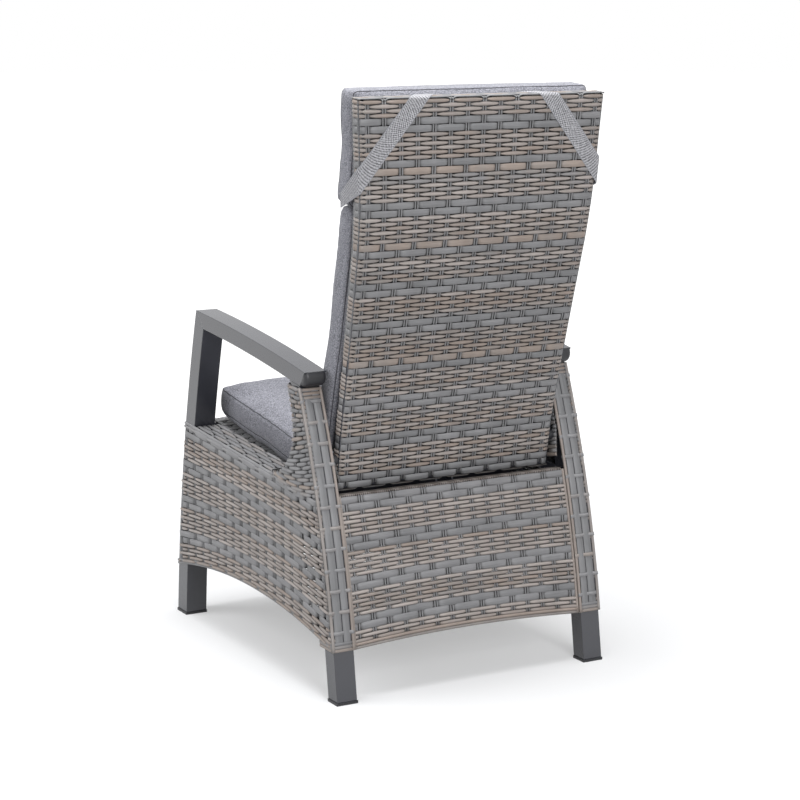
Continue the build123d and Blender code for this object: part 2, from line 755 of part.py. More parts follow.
for side, sign in sides.items():
    with BuildSketch(Plane.XY, mode=Mode.PRIVATE) as tube_side:
        with BuildLine():
            front, rear = front_cross_y + front_cross_depth, rear_cross_y
            Polyline(
                (front, deck_z(front) - deck_drop),
                (rear, deck_z(rear) - deck_drop),
                (rear, deck_z(rear) - deck_drop - seat_tube),
                (front, deck_z(front) - deck_drop - seat_tube),
                close=True,
            )
        make_face()
    with BuildPart() as deck_side_tube:
        with BuildSketch(side_view.offset(sign * (deck_half - seat_tube))):
            add(tube_side.sketch)
        extrude(amount=sign * seat_tube)
        with BuildSketch(side_view.offset(sign * (deck_half - seat_tube + tube_wall))):
            add(tube_side.sketch)
            offset(amount=-tube_wall)
        extrude(amount=sign * (seat_tube - 2 * tube_wall), mode=Mode.SUBTRACT)
    deck_side_tube.part.label = f"deck_side_tube_{side}"
    export_step(deck_side_tube.part, f"parts/deck_side_tube_{side}.step")

deck_rear_y = deck_front_y + deck_length * math.cos(math.radians(deck_slope)) - deck_overhang
spring_tube_y = (anchor[0] + shaft[0]) / 2 + seat_tube / 2
deck_tubes = {
    "deck_rear_cross_tube": (deck_rear_y, rear_deck_tube_height),
    "spring_cross_tube": (spring_tube_y, seat_tube),
}
for name, (rear, height) in deck_tubes.items():
    half = deck_half - seat_tube
    with BuildPart() as deck_tube:
        with BuildSketch(side_view.offset(-half)):
            add(cross_box((rear - seat_tube, deck_z(rear) - deck_drop - height, seat_tube, height)))
            offset(amount=-tube_wall, mode=Mode.SUBTRACT)
        extrude(amount=2 * half)
    deck_tube.part.label = name
    export_step(deck_tube.part, f"parts/{name}.step")


def back_points(depth, trim):
    """Bent side line of the backrest at a depth, both ends shortened, as line ends and arc middles."""
    corners = back_corners(depth)
    first, last = lean_step(lower_lean), lean_step(head_lean)
    points = [(corners[0][0] + trim * first[0], corners[0][1] + trim * first[1])]
    for place, below, above in zip(corners[1:3], (lower_lean, back_lean), (back_lean, head_lean)):
        radius = back_bend_radius + math.copysign(depth, above - below)
        half_turn = math.radians(above - below) / 2
        reach = abs(radius * math.tan(half_turn))
        start = [place[i] - reach * lean_step(below)[i] for i in (0, 1)]
        end = [place[i] + reach * lean_step(above)[i] for i in (0, 1)]
        bow = math.copysign(radius * (1 - math.cos(half_turn)), half_turn)
        points += [start, bow_middle(start, end, bow), end]
    points.append((corners[3][0] - trim * last[0], corners[3][1] - trim * last[1]))
    return [tuple(point) for point in points]


def back_strip(rear, front, trim):
    """Side view of the backrest between two depths, both ends shortened."""
    near, far = back_points(rear, trim), back_points(front, trim)
    with BuildSketch(Plane.XY, mode=Mode.PRIVATE) as strip:
        with BuildLine():
            for points in (near, far):
                Line(points[0], points[1])
                ThreePointArc(points[1], points[2], points[3])
                Line(points[3], points[4])
                ThreePointArc(points[4], points[5], points[6])
                Line(points[6], points[7])
            Line(near[0], far[0])
            Line(near[7], far[7])
        make_face()
    return strip.sketch


def back_front_view(inset):
    """Front view of the flared backrest past both ends, its sides moved in."""
    low, high = back_bottom_height - overrun, back_top_height + overrun
    heights = (low, (low + high) / 2, high)
    with BuildSketch(Plane.XY, mode=Mode.PRIVATE) as shape:
        with BuildLine():
            ThreePointArc(*[(back_half(z) - inset, z) for z in heights])
            Line((back_half(high) - inset, high), (inset - back_half(high), high))
            ThreePointArc(*[(inset - back_half(z), z) for z in reversed(heights)])
            Line((inset - back_half(low), low), (back_half(low) - inset, low))
        make_face()
    return shape.sketch


def back_block(inset):
    """A deep block with the backrest's flared front view, its sides moved in."""
    with BuildPart(mode=Mode.PRIVATE) as block:
        with BuildSketch(front_view):
            add(back_front_view(inset))
        extrude(amount=foot_spread, both=True)
    return block.part


# Backrest frame: two bent stiles with the hinge bores, and rails between them.
stile_x = back_half(pivot_height) - weave
frame_front = weave + back_tube
for side, sign in sides.items():
    with BuildPart() as hollow:
        with BuildSketch(side_view):
            add(back_strip(weave + tube_wall, frame_front - tube_wall, weave))
        extrude(amount=sign * metal_width)
        add(back_block(weave + tube_wall), mode=Mode.INTERSECT)
        add(back_block(weave + back_tube - tube_wall), mode=Mode.SUBTRACT)
    with BuildPart() as stile:
        with BuildSketch(side_view):
            add(back_strip(weave, frame_front, weave))
        extrude(amount=sign * metal_width)
        add(back_block(weave), mode=Mode.INTERSECT)
        add(back_block(weave + back_tube), mode=Mode.SUBTRACT)
        add(hollow.part, mode=Mode.SUBTRACT)
        with BuildSketch(side_view.offset(sign * (stile_x - back_tube / 2))):
            with Locations(pivot):
                Circle(hinge_bolt_radius + running)
        extrude(amount=sign * back_tube, mode=Mode.SUBTRACT)
    stile.part.label = f"backrest_stile_{side}"
    export_step(stile.part, f"parts/backrest_stile_{side}.step")

back_total = sum((lower_length, back_length, head_length))
rail_size = back_tube - 2 * fit
rail_bore = rail_size - 2 * tube_wall
rails = {
    "backrest_top_rail": (back_total - weave,),
    "backrest_bottom_rail": (weave + back_tube,),
    "backrest_middle_rails": [share * back_total for share in middle_rail_shares],
}
for name, places in rails.items():
    with BuildPart() as rail:
        with BuildSketch(side_view):
            for along in places:
                place, lean = back_point(along - back_tube / 2, 0)
                step = lean_step(lean)
                deep = weave + back_tube / 2
                with Locations((place[0] - deep * step[1], place[1] + deep * step[0])):
                    Rectangle(rail_size, rail_size, rotation=-lean)
                    Rectangle(rail_bore, rail_bore, rotation=-lean, mode=Mode.SUBTRACT)
        extrude(amount=metal_width, both=True)
        add(back_block(weave + back_tube), mode=Mode.INTERSECT)
    rail.part.label = name
    export_step(rail.part, f"parts/{name}.step")

# Crank plates that hang from the bottom rail and carry the spring's sliding pin.
plate_x = crank_gap / 2
with BuildSketch(Plane.XY, mode=Mode.PRIVATE) as crank:
    with BuildSketch(Plane.XY, mode=Mode.PRIVATE) as crank_ends:
        with Locations(crank_end, (crank_end[0], crank_end[1] + pin_slide)):
            Circle(crank_width / 2)
        with BuildLine():
            rail_low = back_point(weave, weave)[0]
            rail_high = back_point(weave, frame_front)[0]
            Polyline(rail_low, rail_high, (crank_end[0], crank_end[1] + pin_slide), close=True)
        make_face()
    make_hull(crank_ends.sketch.edges())
    with Locations((crank_end[0], crank_end[1] + pin_slide / 2)):
        width = 2 * (pin_radius + pin_side_play)
        SlotCenterToCenter(pin_slide, width, rotation=90, mode=Mode.SUBTRACT)
for side, sign in sides.items():
    with BuildPart() as crank_plate_part:
        with BuildSketch(side_view.offset(sign * plate_x)):
            add(crank.sketch)
        extrude(amount=sign * crank_plate)
    crank_plate_part.part.label = f"crank_plate_{side}"
    export_step(crank_plate_part.part, f"parts/crank_plate_{side}.step")

# Woven skin of the backrest: all round the frame, open in front inside the frame.
with BuildPart() as frame_space:
    with BuildSketch(side_view):
        add(back_strip(weave, frame_front, weave))
    extrude(amount=metal_width, both=True)
    add(back_block(weave), mode=Mode.INTERSECT)
with BuildPart() as window:
    with BuildSketch(side_view):
        add(back_strip(weave + tube_wall, back_thickness + overrun, frame_front))
    extrude(amount=metal_width, both=True)
    add(back_block(frame_front), mode=Mode.INTERSECT)
with BuildPart() as back_weave:
    with BuildSketch(side_view):
        add(back_strip(0, back_thickness, 0))
    extrude(amount=metal_width, both=True)
    add(back_block(0), mode=Mode.INTERSECT)
    upper = back_weave.edges().sort_by(Axis.Z)[-8:]
    fillet(upper, radius=back_edge_radius)
    add(frame_space.part, mode=Mode.SUBTRACT)
    add(window.part, mode=Mode.SUBTRACT)
    with BuildSketch(side_view):
        with Locations(pivot):
            Circle(hinge_bush_radius + fit)
    extrude(amount=metal_width, both=True, mode=Mode.SUBTRACT)
    with BuildSketch(back_station(0, 0)):
        for sign in sides.values():
            with Locations((sign * (plate_x + crank_plate / 2), weave + back_tube / 2)):
                Rectangle(crank_plate + 2 * fit, back_tube + 2 * crank_slot_room)
    extrude(amount=-weave, mode=Mode.SUBTRACT)
back_weave.part.label = "backrest_weave"
export_step(back_weave.part, "parts/backrest_weave.step")

# Recline hinge: a bolt from inside each stile into the rear leg, with a bush as spacer.
with BuildPart() as hinge_bushes:
    for sign in sides.values():
        with BuildSketch(side_view.offset(sign * (stile_x + fit))):
            with Locations(pivot):
                Circle(hinge_bush_radius)
                Circle(hinge_bolt_radius + running, mode=Mode.SUBTRACT)
        extrude(amount=sign * (rear_leg_x - stile_x - fit))
hinge_bushes.part.label = "hinge_bushes"
export_step(hinge_bushes.part, "parts/hinge_bushes.step")

with BuildPart() as hinge_bolts:
    for sign in sides.values():
        head_x = stile_x - tube_wall - fit - hinge_head_height
        with BuildSketch(side_view.offset(sign * head_x)):
            with Locations(pivot):
                Circle(hinge_head_radius)
        extrude(amount=sign * hinge_head_height)
        with BuildSketch(side_view.offset(sign * head_x)):
            with Locations(pivot):
                Circle(hinge_bolt_radius)
        extrude(amount=sign * (rear_leg_x + tube_wall + hinge_head_height - head_x))
hinge_bolts.part.label = "hinge_bolts"
export_step(hinge_bolts.part, "parts/hinge_bolts.step")

# Gas spring, drawn along its own axis from the anchor to the crank pin.
spring_run, spring_rise = crank_end[0] - anchor[0], crank_end[1] - anchor[1]
spring_length = math.hypot(spring_run, spring_rise)
spring_step = (spring_run / spring_length, spring_rise / spring_length)
spring_turn = math.degrees(math.atan2(spring_rise, spring_run))


def spring_place(along):
    """Place of a point along the spring, as (depth, height)."""
    return (anchor[0] + along * spring_step[0], anchor[1] + along * spring_step[1])


def spring_plane(along):
    """Plane across the spring, facing the crank pin."""
    place = spring_place(along)
    origin = side_view.from_local_coords((place[0], place[1], 0))
    return Plane(origin=origin, x_dir=(1, 0, 0), z_dir=(0, spring_step[0], spring_step[1]))


with BuildPart() as release_head:
    with BuildSketch(side_view):
        with Locations(spring_place((head_front - head_rear) / 2)):
            RectangleRounded(head_front + head_rear, head_width, head_corner, rotation=spring_turn)
    extrude(amount=head_width / 2, both=True)
    for sign in sides.values():
        with BuildSketch(side_view.offset(sign * head_width / 2)):
            with Locations(anchor):
                Circle(pin_radius + running)
        extrude(amount=-sign * (anchor_screw_depth + fit), mode=Mode.SUBTRACT)
    with BuildSketch(spring_plane(-head_rear)):
        Circle(release_pin_radius + running)
    extrude(amount=head_rear, mode=Mode.SUBTRACT)
    with BuildSketch(spring_plane(tube_wall)):
        Circle(rod_radius)
    extrude(amount=head_front, mode=Mode.SUBTRACT)
release_head.part.label = "release_head"
export_step(release_head.part, "parts/release_head.step")

cylinder_end = spring_length - cylinder_neck
cylinder_start = cylinder_end - cylinder_length
piston_start = cylinder_start + gland_length + piston_length / 2
with BuildPart() as spring_rod:
    with BuildSketch(spring_plane(tube_wall)):
        Circle(rod_radius)
    extrude(amount=piston_start - tube_wall)
    with BuildSketch(spring_plane(piston_start)):
        Circle(cylinder_radius - cylinder_wall - running)
    extrude(amount=piston_length)
spring_rod.part.label = "spring_rod"
export_step(spring_rod.part, "parts/spring_rod.step")

with BuildPart() as spring_cylinder:
    with BuildSketch(spring_plane(cylinder_start)):
        Circle(cylinder_radius)
    extrude(amount=cylinder_length)
    with BuildSketch(spring_plane(cylinder_start)):
        Circle(cylinder_radius - cylinder_wall)
    extrude(amount=cylinder_length - 2 * cylinder_wall, mode=Mode.SUBTRACT)
spring_cylinder.part.label = "spring_cylinder"
export_step(spring_cylinder.part, "parts/spring_cylinder.step")

with BuildPart() as cylinder_gland:
    with BuildSketch(spring_plane(cylinder_start)):
        Circle(cylinder_radius - cylinder_wall)
        Circle(rod_radius + running, mode=Mode.SUBTRACT)
    extrude(amount=gland_length)
cylinder_gland.part.label = "cylinder_gland"
export_step(cylinder_gland.part, "parts/cylinder_gland.step")

with BuildPart() as spring_end_eye:
    with BuildSketch(spring_plane(cylinder_end)):
        Circle(neck_radius)
    extrude(amount=cylinder_neck)
    with BuildSketch(side_view):
        with Locations(crank_end):
            Circle(eye_radius)
    extrude(amount=eye_width / 2, both=True)
    with BuildSketch(side_view):
        with Locations(crank_end):
            Circle(pin_radius)
    extrude(amount=eye_width / 2, both=True, mode=Mode.SUBTRACT)
spring_end_eye.part.label = "spring_end_eye"
export_step(spring_end_eye.part, "parts/spring_end_eye.step")

with BuildPart() as crank_pin:
    with BuildSketch(side_view):
        with Locations(crank_end):
            Circle(pin_radius)
    extrude(amount=plate_x + crank_plate + fit, both=True)
    for sign in sides.values():
        with BuildSketch(side_view.offset(sign * (plate_x + crank_plate + fit))):
            with Locations(crank_end):
                Circle(pin_cap_radius)
        extrude(amount=sign * pin_cap)
crank_pin.part.label = "crank_pin"
export_step(crank_pin.part, "parts/crank_pin.step")

# Brackets under the spring tube, and the screws on which the release head turns.
cheek_x = head_width / 2 + fit
tube_low = deck_z(spring_tube_y) - deck_drop - seat_tube
with BuildSketch(Plane.XY, mode=Mode.PRIVATE) as bracket:
    with BuildSketch(Plane.XY, mode=Mode.PRIVATE) as bracket_ends:
        with Locations(anchor, shaft):
            Circle(cheek_radius)
        with BuildLine():
            top_front, top_rear = (spring_tube_y - seat_tube, tube_low), (spring_tube_y, tube_low)
            Polyline(top_front, top_rear, anchor, close=True)
        make_face()
    make_hull(bracket_ends.sketch.edges())
    with Locations(anchor):
        Circle(pin_radius, mode=Mode.SUBTRACT)
    with Locations(shaft):
        Circle(shaft_radius + running, mode=Mode.SUBTRACT)
for side, sign in sides.items():
    with BuildPart() as spring_bracket:
        with BuildSketch(side_view.offset(sign * cheek_x)):
            add(bracket.sketch)
        extrude(amount=sign * cheek)
    spring_bracket.part.label = f"spring_bracket_{side}"
    export_step(spring_bracket.part, f"parts/spring_bracket_{side}.step")

with BuildPart() as anchor_screws:
    for sign in sides.values():
        with BuildSketch(side_view.offset(sign * (head_width / 2 - anchor_screw_depth))):
            with Locations(anchor):
                Circle(pin_radius)
        extrude(amount=sign * (anchor_screw_depth + fit + cheek))
        with BuildSketch(side_view.offset(sign * (cheek_x + cheek))):
            with Locations(anchor):
                Circle(anchor_screw_head)
        extrude(amount=sign * anchor_screw_cap)
anchor_screws.part.label = "anchor_screws"
export_step(anchor_screws.part, "parts/anchor_screws.step")

# Release: the plunger, and the finger, shaft and lever that press it.
with BuildPart() as release_plunger:
    with BuildSketch(spring_plane(-head_rear - release_pin_reach)):
        Circle(release_pin_radius)
    extrude(amount=release_pin_length)
    chamfer(release_plunger.faces().sort_by(Axis.Y)[0].edges(), length=release_pin_chamfer)
release_plunger.part.label = "release_plunger"
export_step(release_plunger.part, "parts/release_plunger.step")

finger_face = -head_rear - release_pin_reach - release_gap
reach = finger_face - finger_thickness / 2
with BuildPart() as release_finger:
    with BuildSketch(side_view.offset(-finger_width / 2)):
        with BuildSketch(Plane.XY, mode=Mode.PRIVATE) as finger_ends:
            with Locations(shaft):
                Circle(finger_hub_radius)
            with BuildLine():
                foot = spring_place(reach)
                side_step = (-spring_step[1], spring_step[0])
                rise = release_pin_radius + finger_overlap
                face, rear = finger_thickness / 2, -finger_thickness / 2
                corners = [
                    (
                        foot[0] + off * spring_step[0] + up * side_step[0],
                        foot[1] + off * spring_step[1] + up * side_step[1],
                    )
                    for off, up in ((face, rise), (face, -rise), (rear, -rise), (rear, rise))
                ]
                Polyline(*corners, close=True)
            make_face()
        with BuildSketch(Plane.XY, mode=Mode.PRIVATE) as finger_web:
            with Locations(shaft):
                Circle(finger_hub_radius)
            with BuildLine():
                Polyline(corners[1], corners[2], shaft, close=True)
            make_face()
        add(finger_ends.sketch)
        make_hull(finger_web.sketch.edges())
        with Locations(shaft):
            Circle(shaft_radius, mode=Mode.SUBTRACT)
    extrude(amount=finger_width)
release_finger.part.label = "release_finger"
export_step(release_finger.part, "parts/release_finger.step")

shaft_in = cheek_x + cheek + anchor_screw_cap
lever_in = panel_x + lever_flange + fit
with BuildPart() as release_shaft:
    with BuildSketch(side_view.offset(shaft_in)):
        with Locations(shaft):
            Circle(shaft_radius)
    extrude(amount=-(shaft_in + lever_in + lever_thickness))
release_shaft.part.label = "release_shaft"
export_step(release_shaft.part, "parts/release_shaft.step")

with BuildPart() as lever_bush:
    with BuildSketch(side_view.offset(-metal_x)):
        with Locations(shaft):
            Circle(lever_bush_radius)
    extrude(amount=-weave)
    with BuildSketch(side_view.offset(-panel_x)):
        with Locations(shaft):
            Circle(lever_flange_radius)
    extrude(amount=-lever_flange)
    with BuildSketch(side_view.offset(-metal_x)):
        with Locations(shaft):
            Circle(shaft_radius + running)
    extrude(amount=-(weave + lever_flange), mode=Mode.SUBTRACT)
lever_bush.part.label = "lever_bush"
export_step(lever_bush.part, "parts/lever_bush.step")

lever_tip = (shaft[0] - lever_length, shaft[1] + lever_rise)
with BuildSketch(Plane.XY, mode=Mode.PRIVATE) as lever_shape:
    with BuildSketch(Plane.XY, mode=Mode.PRIVATE) as lever_ends:
        with Locations(shaft):
            Circle(lever_hub_radius)
        with Locations(lever_tip):
            Circle(lever_tip_radius)
    make_hull(lever_ends.sketch.edges())
with BuildPart() as release_lever:
    with BuildSketch(side_view.offset(-lever_in)):
        add(lever_shape.sketch)
        with Locations(shaft):
            Circle(shaft_radius, mode=Mode.SUBTRACT)
    extrude(amount=-lever_thickness)
release_lever.part.label = "release_lever"
export_step(release_lever.part, "parts/release_lever.step")

with BuildPart() as lever_grip:
    with BuildSketch(side_view.offset(-lever_in + grip_wall)):
        add(lever_shape.sketch)
        offset(amount=grip_wall)
        with Locations((lever_tip[0] - grip_wall - lever_tip_radius + grip_length / 2, lever_tip[1])):
            Rectangle(grip_length, lever_length, mode=Mode.INTERSECT)
    extrude(amount=-(lever_thickness + 2 * grip_wall))
    with BuildSketch(side_view.offset(-lever_in)):
        add(lever_shape.sketch)
    extrude(amount=-lever_thickness, mode=Mode.SUBTRACT)
lever_grip.part.label = "lever_grip"
export_step(lever_grip.part, "parts/lever_grip.step")


def cushion_section(half, bottom, low, high, top):
    """Cross-section of a cushion: drawn-in bottom and top between two side seams."""
    with BuildSketch(Plane.XY, mode=Mode.PRIVATE) as section:
        with BuildLine():
            flat = half - cushion_edge
            left, right = (-half, low), (half, low)
            ThreePointArc(left, bow_middle(left, (-flat, bottom), -cushion_edge_bow), (-flat, bottom))
            Line((-flat, bottom), (flat, bottom))
            ThreePointArc((flat, bottom), bow_middle((flat, bottom), right, -cushion_edge_bow), right)
            ThreePointArc((half, low), (half + side_bulge, (low + high) / 2), (half, high))
            ThreePointArc((half, high), (0, top), (-half, high))
            ThreePointArc((-half, high), (-half - side_bulge, (low + high) / 2), (-half, low))
        make_face()
    return section.sketch


# Cushions: crowned, with drawn-in sides and creased seams, lofted along their length.
across = Plane(
    origin=deck_plane.origin,
    x_dir=(1, 0, 0),
    z_dir=(0, -deck_lean[1], deck_lean[0]),
)
fold = cushion_fold_at - back_cushion_start - cushion_gap / 2
head_start = cushion_fold_at + cushion_gap / 2
seat_section = (seat_seam_low, seat_seam_high, seat_crown_height)
back_section = (back_seam_low, back_seam_high, back_crown_height)
cushions = {
    "seat_cushion": (seat_cushion_width, seat_cushion_setback, seat_cushion_length, *seat_section),
    "back_cushion": (back_cushion_width, back_cushion_start, fold, *back_section),
    "head_cushion": (head_cushion_width, head_start, head_cushion_length, *back_section),
}
for name, (width, start, length, low, high, crown) in cushions.items():
    with BuildPart() as cushion:
        for along_share, draw_share, crown_share in cushion_shares:
            along = start + along_share * length
            if name == "seat_cushion":
                station = across.offset(-along)
            else:
                station = back_station(along, back_thickness)
            half = width / 2 - draw_share * cushion_draw
            bottom = fit + low * (1 - crown_share)
            top = high + crown_share * (crown - high)
            with BuildSketch(station):
                add(cushion_section(half, bottom, low, high, top))
        loft()
    cushion.part.label = name
    export_step(cushion.part, f"parts/{name}.step")

# Straps that hold the cushions to the backrest: over the top edge, down the rear face and round the side.
strap_gap = strap_clear + strap_thickness
head_rear_plane = Plane(
    origin=side_view.from_local_coords((*back_corners(-strap_clear)[-1], 0)),
    x_dir=(1, 0, 0),
    z_dir=(0, -lean_step(head_lean)[1], lean_step(head_lean)[0]),
)
strap_cut = strap_width * math.hypot(1, strap_slope) / strap_slope
for side, sign in sides.items():
    inner_x, outer_x = strap_top_x - strap_cut / 2, strap_top_x + strap_cut / 2
    edge = back_top_width / 2 - back_flare_bow
    low_z = back_top_height - strap_slope * (edge - inner_x)
    high_z = back_top_height - strap_slope * (edge - outer_x)
    low_x, high_x = back_half(low_z) + strap_gap, back_half(high_z) + strap_gap
    low_y = back_point(back_total - (back_top_height - low_z), -strap_gap)[0][0]
    high_y = back_point(back_total - (back_top_height - high_z), -strap_gap)[0][0]
    with BuildPart() as strap:
        with BuildSketch(head_rear_plane):
            with BuildLine():
                Polyline(
                    (sign * inner_x, strap_gap),
                    (sign * outer_x, strap_gap),
                    (sign * high_x, high_z - back_top_height),
                    (sign * low_x, low_z - back_top_height),
                    close=True,
                )
            make_face()
        extrude(amount=-strap_thickness)
        top_plane = Plane(
            origin=head_rear_plane.from_local_coords((0, strap_clear, -strap_thickness)),
            x_dir=(1, 0, 0),
            z_dir=(0, lean_step(head_lean)[0], lean_step(head_lean)[1]),
        )
        with BuildSketch(top_plane):
            with BuildLine():
                run = back_thickness + strap_gap
                shift = run / strap_slope
                Polyline(
                    (sign * inner_x, 0),
                    (sign * outer_x, 0),
                    (sign * (outer_x - shift), -run),
                    (sign * (inner_x - shift), -run),
                    close=True,
                )
            make_face()
        extrude(amount=strap_thickness)
        rear_x, rear_y = centre_x + sign * (low_x + high_x) / 2, centre_y + (low_y + high_y) / 2
        rear_middle = Vector(rear_x, rear_y, (low_z + high_z) / 2)
        tip_x = head_cushion_width / 2 + side_bulge + strap_gap
        front_y = rear_middle.Y - strap_side_reach
        tip_middle = Vector(centre_x + sign * tip_x, front_y, rear_middle.Z - strap_side_drop)
        flare = Vector(sign * (high_x - low_x), high_y - low_y, high_z - low_z)
        out = (tip_middle - rear_middle).cross(flare).normalized()
        if out.X * sign < 0:
            out = -out
        side_plane = Plane(origin=rear_middle, x_dir=flare.normalized(), z_dir=out)
        end_half = strap_end_width / 2
        rear_half = flare.length / 2
        corner = side_plane.to_local_coords(tip_middle + Vector(0, 0, end_half))
        lower = side_plane.to_local_coords(tip_middle - Vector(0, 0, end_half))
        with BuildSketch(side_plane):
            with BuildLine():
                Polyline(
                    (rear_half, 0),
                    (corner.X, corner.Y),
                    (lower.X, lower.Y),
                    (-rear_half, 0),
                    close=True,
                )
            make_face()
        extrude(amount=-strap_thickness)
    strap.part.label = f"strap_{side}"
    export_step(strap.part, f"parts/strap_{side}.step")
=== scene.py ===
import math
import random

import bpy
import numpy as np
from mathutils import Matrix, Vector, kdtree


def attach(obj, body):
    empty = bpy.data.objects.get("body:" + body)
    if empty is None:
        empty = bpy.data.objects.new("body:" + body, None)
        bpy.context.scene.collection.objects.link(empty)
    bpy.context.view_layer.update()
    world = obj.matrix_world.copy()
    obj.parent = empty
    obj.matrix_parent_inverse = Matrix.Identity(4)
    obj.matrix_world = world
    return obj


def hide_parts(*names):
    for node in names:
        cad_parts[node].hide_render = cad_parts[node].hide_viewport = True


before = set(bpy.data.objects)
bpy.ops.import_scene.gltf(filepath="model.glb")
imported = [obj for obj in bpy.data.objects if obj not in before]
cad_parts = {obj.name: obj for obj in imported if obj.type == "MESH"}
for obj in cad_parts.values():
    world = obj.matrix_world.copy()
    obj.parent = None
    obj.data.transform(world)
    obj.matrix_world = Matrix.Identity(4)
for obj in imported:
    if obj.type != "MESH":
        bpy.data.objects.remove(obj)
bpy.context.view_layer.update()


def add_object(name, data):
    """Adds an object to the scene, alone selected and active."""
    made = bpy.data.objects.new(name, data)
    bpy.context.scene.collection.objects.link(made)
    bpy.ops.object.select_all(action="DESELECT")
    bpy.context.view_layer.objects.active = made
    made.select_set(True)
    return made


view = bpy.data.cameras.new("camera")
view.lens = 98.39
view.sensor_width = 36
camera = add_object("camera", view)
camera.location = (2.12235, 3.8376, 1.3303)
camera.rotation_euler = Vector((0.4804, 0.8569, 0.1865)).to_track_quat("Z", "Y").to_euler()
bpy.context.scene.camera = camera
bpy.context.scene.view_settings.view_transform = "Standard"

# Floor and light: a white sweep with big soft boxes above it, behind it and to the sitter's left.
# Far from the chair the sweep shows pure white, and near it keeps the chair's soft shadow.


def colour(code):
    """Linear colour of an sRGB hex value."""
    parts = [int(code[i : i + 2], 16) / 255 for i in (0, 2, 4)]
    return [p / 12.92 if p <= 0.04045 else ((p + 0.055) / 1.055) ** 2.4 for p in parts] + [1.0]


def node(tree, kind, links=(), sockets=(), stops=(), **settings):
    """Adds a node. Links pair sockets with sources, sockets pair them with values, and stops fill a ramp."""
    made = tree.nodes.new(kind)
    for name, value in settings.items():
        setattr(made, name, value)
    for socket, value in sockets:
        made.inputs[socket].default_value = value
    for socket, source in links:
        tree.links.new(source.outputs[0] if hasattr(source, "outputs") else source, made.inputs[socket])
    if stops:
        steps = made.color_ramp.elements
        (steps[0].position, first), (steps[1].position, last) = stops[0], stops[-1]
        steps[0].color, steps[1].color = colour(first), colour(last)
        for position, code in stops[1:-1]:
            steps.new(position).color = colour(code)
    return made


def new_material(name):
    """An empty node material, its node tree and the place on the piece, in metres."""
    material = bpy.data.materials.new(name)
    material.use_nodes = True
    tree = material.node_tree
    tree.nodes.clear()
    return material, tree, node(tree, "ShaderNodeTexCoord").outputs["Object"]


def noise(tree, place, scale, detail=2.0):
    """Noise at a place, of this many grains to a metre where the place is in metres."""
    return node(tree, "ShaderNodeTexNoise", [("Vector", place)], [("Scale", scale), ("Detail", detail)])


def surface(tree, links, sockets):
    """Ends a material with one shader that has these links and values."""
    shader = node(tree, "ShaderNodeBsdfPrincipled", links, sockets)
    node(tree, "ShaderNodeOutputMaterial", [(0, shader)])


def seen_straight(tree):
    """One for what the camera sees, straight, in a gloss or through glass, and zero for light."""
    path = node(tree, "ShaderNodeLightPath").outputs
    direct = node(tree, "ShaderNodeMath", [(0, path["Is Camera Ray"]), (1, path["Is Glossy Ray"])])
    return node(tree, "ShaderNodeMath", [(0, direct), (1, path["Is Transmission Ray"])], use_clamp=True)


material, tree, place = new_material("painted_sweep")
away = node(tree, "ShaderNodeVectorMath", [(0, place)], operation="LENGTH")
whiter = node(
    tree,
    "ShaderNodeMapRange",
    [("Value", away.outputs["Value"])],
    [("From Min", 0.55), ("From Max", 1.9), ("To Min", 0.33), ("To Max", 1.0)],
)
seen = seen_straight(tree)
share = node(tree, "ShaderNodeMath", [(0, seen), (1, whiter)], operation="MULTIPLY")
shown = node(
    tree, "ShaderNodeMix", [(0, seen)], [(6, colour("a8a8a8")), (7, colour("e4e4e4"))], data_type="RGBA"
)
paint = node(tree, "ShaderNodeBsdfDiffuse", [("Color", shown.outputs[2])])
glow = node(tree, "ShaderNodeEmission", (), [("Color", (1, 1, 1, 1)), ("Strength", 1.3)])
mix = node(tree, "ShaderNodeMixShader", [(0, share), (1, paint), (2, glow)])
node(tree, "ShaderNodeOutputMaterial", [(0, mix)])
bpy.ops.object.select_all(action="DESELECT")
bpy.ops.mesh.primitive_circle_add(vertices=64, radius=30, fill_type="NGON", location=(0, 0, 0))
floor = bpy.context.object
floor.name = "floor"
floor.data.materials.append(material)

world = bpy.context.scene.world or bpy.data.worlds.new("world")
bpy.context.scene.world = world
world.use_nodes = True
tree = world.node_tree
tree.nodes.clear()
soft = node(tree, "ShaderNodeBackground", (), [("Color", (0.96, 0.97, 1, 1)), ("Strength", 0.24)])
white = node(tree, "ShaderNodeBackground", (), [("Color", (1, 1, 1, 1)), ("Strength", 1.0)])
mix = node(tree, "ShaderNodeMixShader", [(0, seen_straight(tree)), (1, soft), (2, white)])
node(tree, "ShaderNodeOutputWorld", [("Surface", mix)])

for name, place, aim, size, power in (
    ("soft_box_left", (3.4, -1.2, 2.8), (0, 0, 0.5), 2.0, 76),
    ("soft_box_top", (0.2, 0.3, 3.8), (0, 0, 0.4), 2.0, 130),
    ("soft_box_rear", (0.7, 4.3, 2.1), (0, 0, 0.9), 1.8, 100),
):
    data = bpy.data.lights.new(name, "AREA")
    data.size, data.color = size, (0.97, 0.98, 1.0)
    data.energy = power
    lamp = add_object(name, data)
    lamp.location = place
    lamp.rotation_euler = (Vector(place) - Vector(aim)).to_track_quat("Z", "Y").to_euler()

# Side frames: welded aluminium tube legs, armrests and cross tubes under an anthracite powder coat.
# The coat is dark and satin, mirrors the room, and rounds every edge a little. The grains of its orange-peel
# skin are drawn 1.1 mm wide, coarser than real ones, so that they show.


def dress(material, names):
    """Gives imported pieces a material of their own."""
    for name in names:
        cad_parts[name].data.materials.clear()
        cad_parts[name].data.materials.append(material)


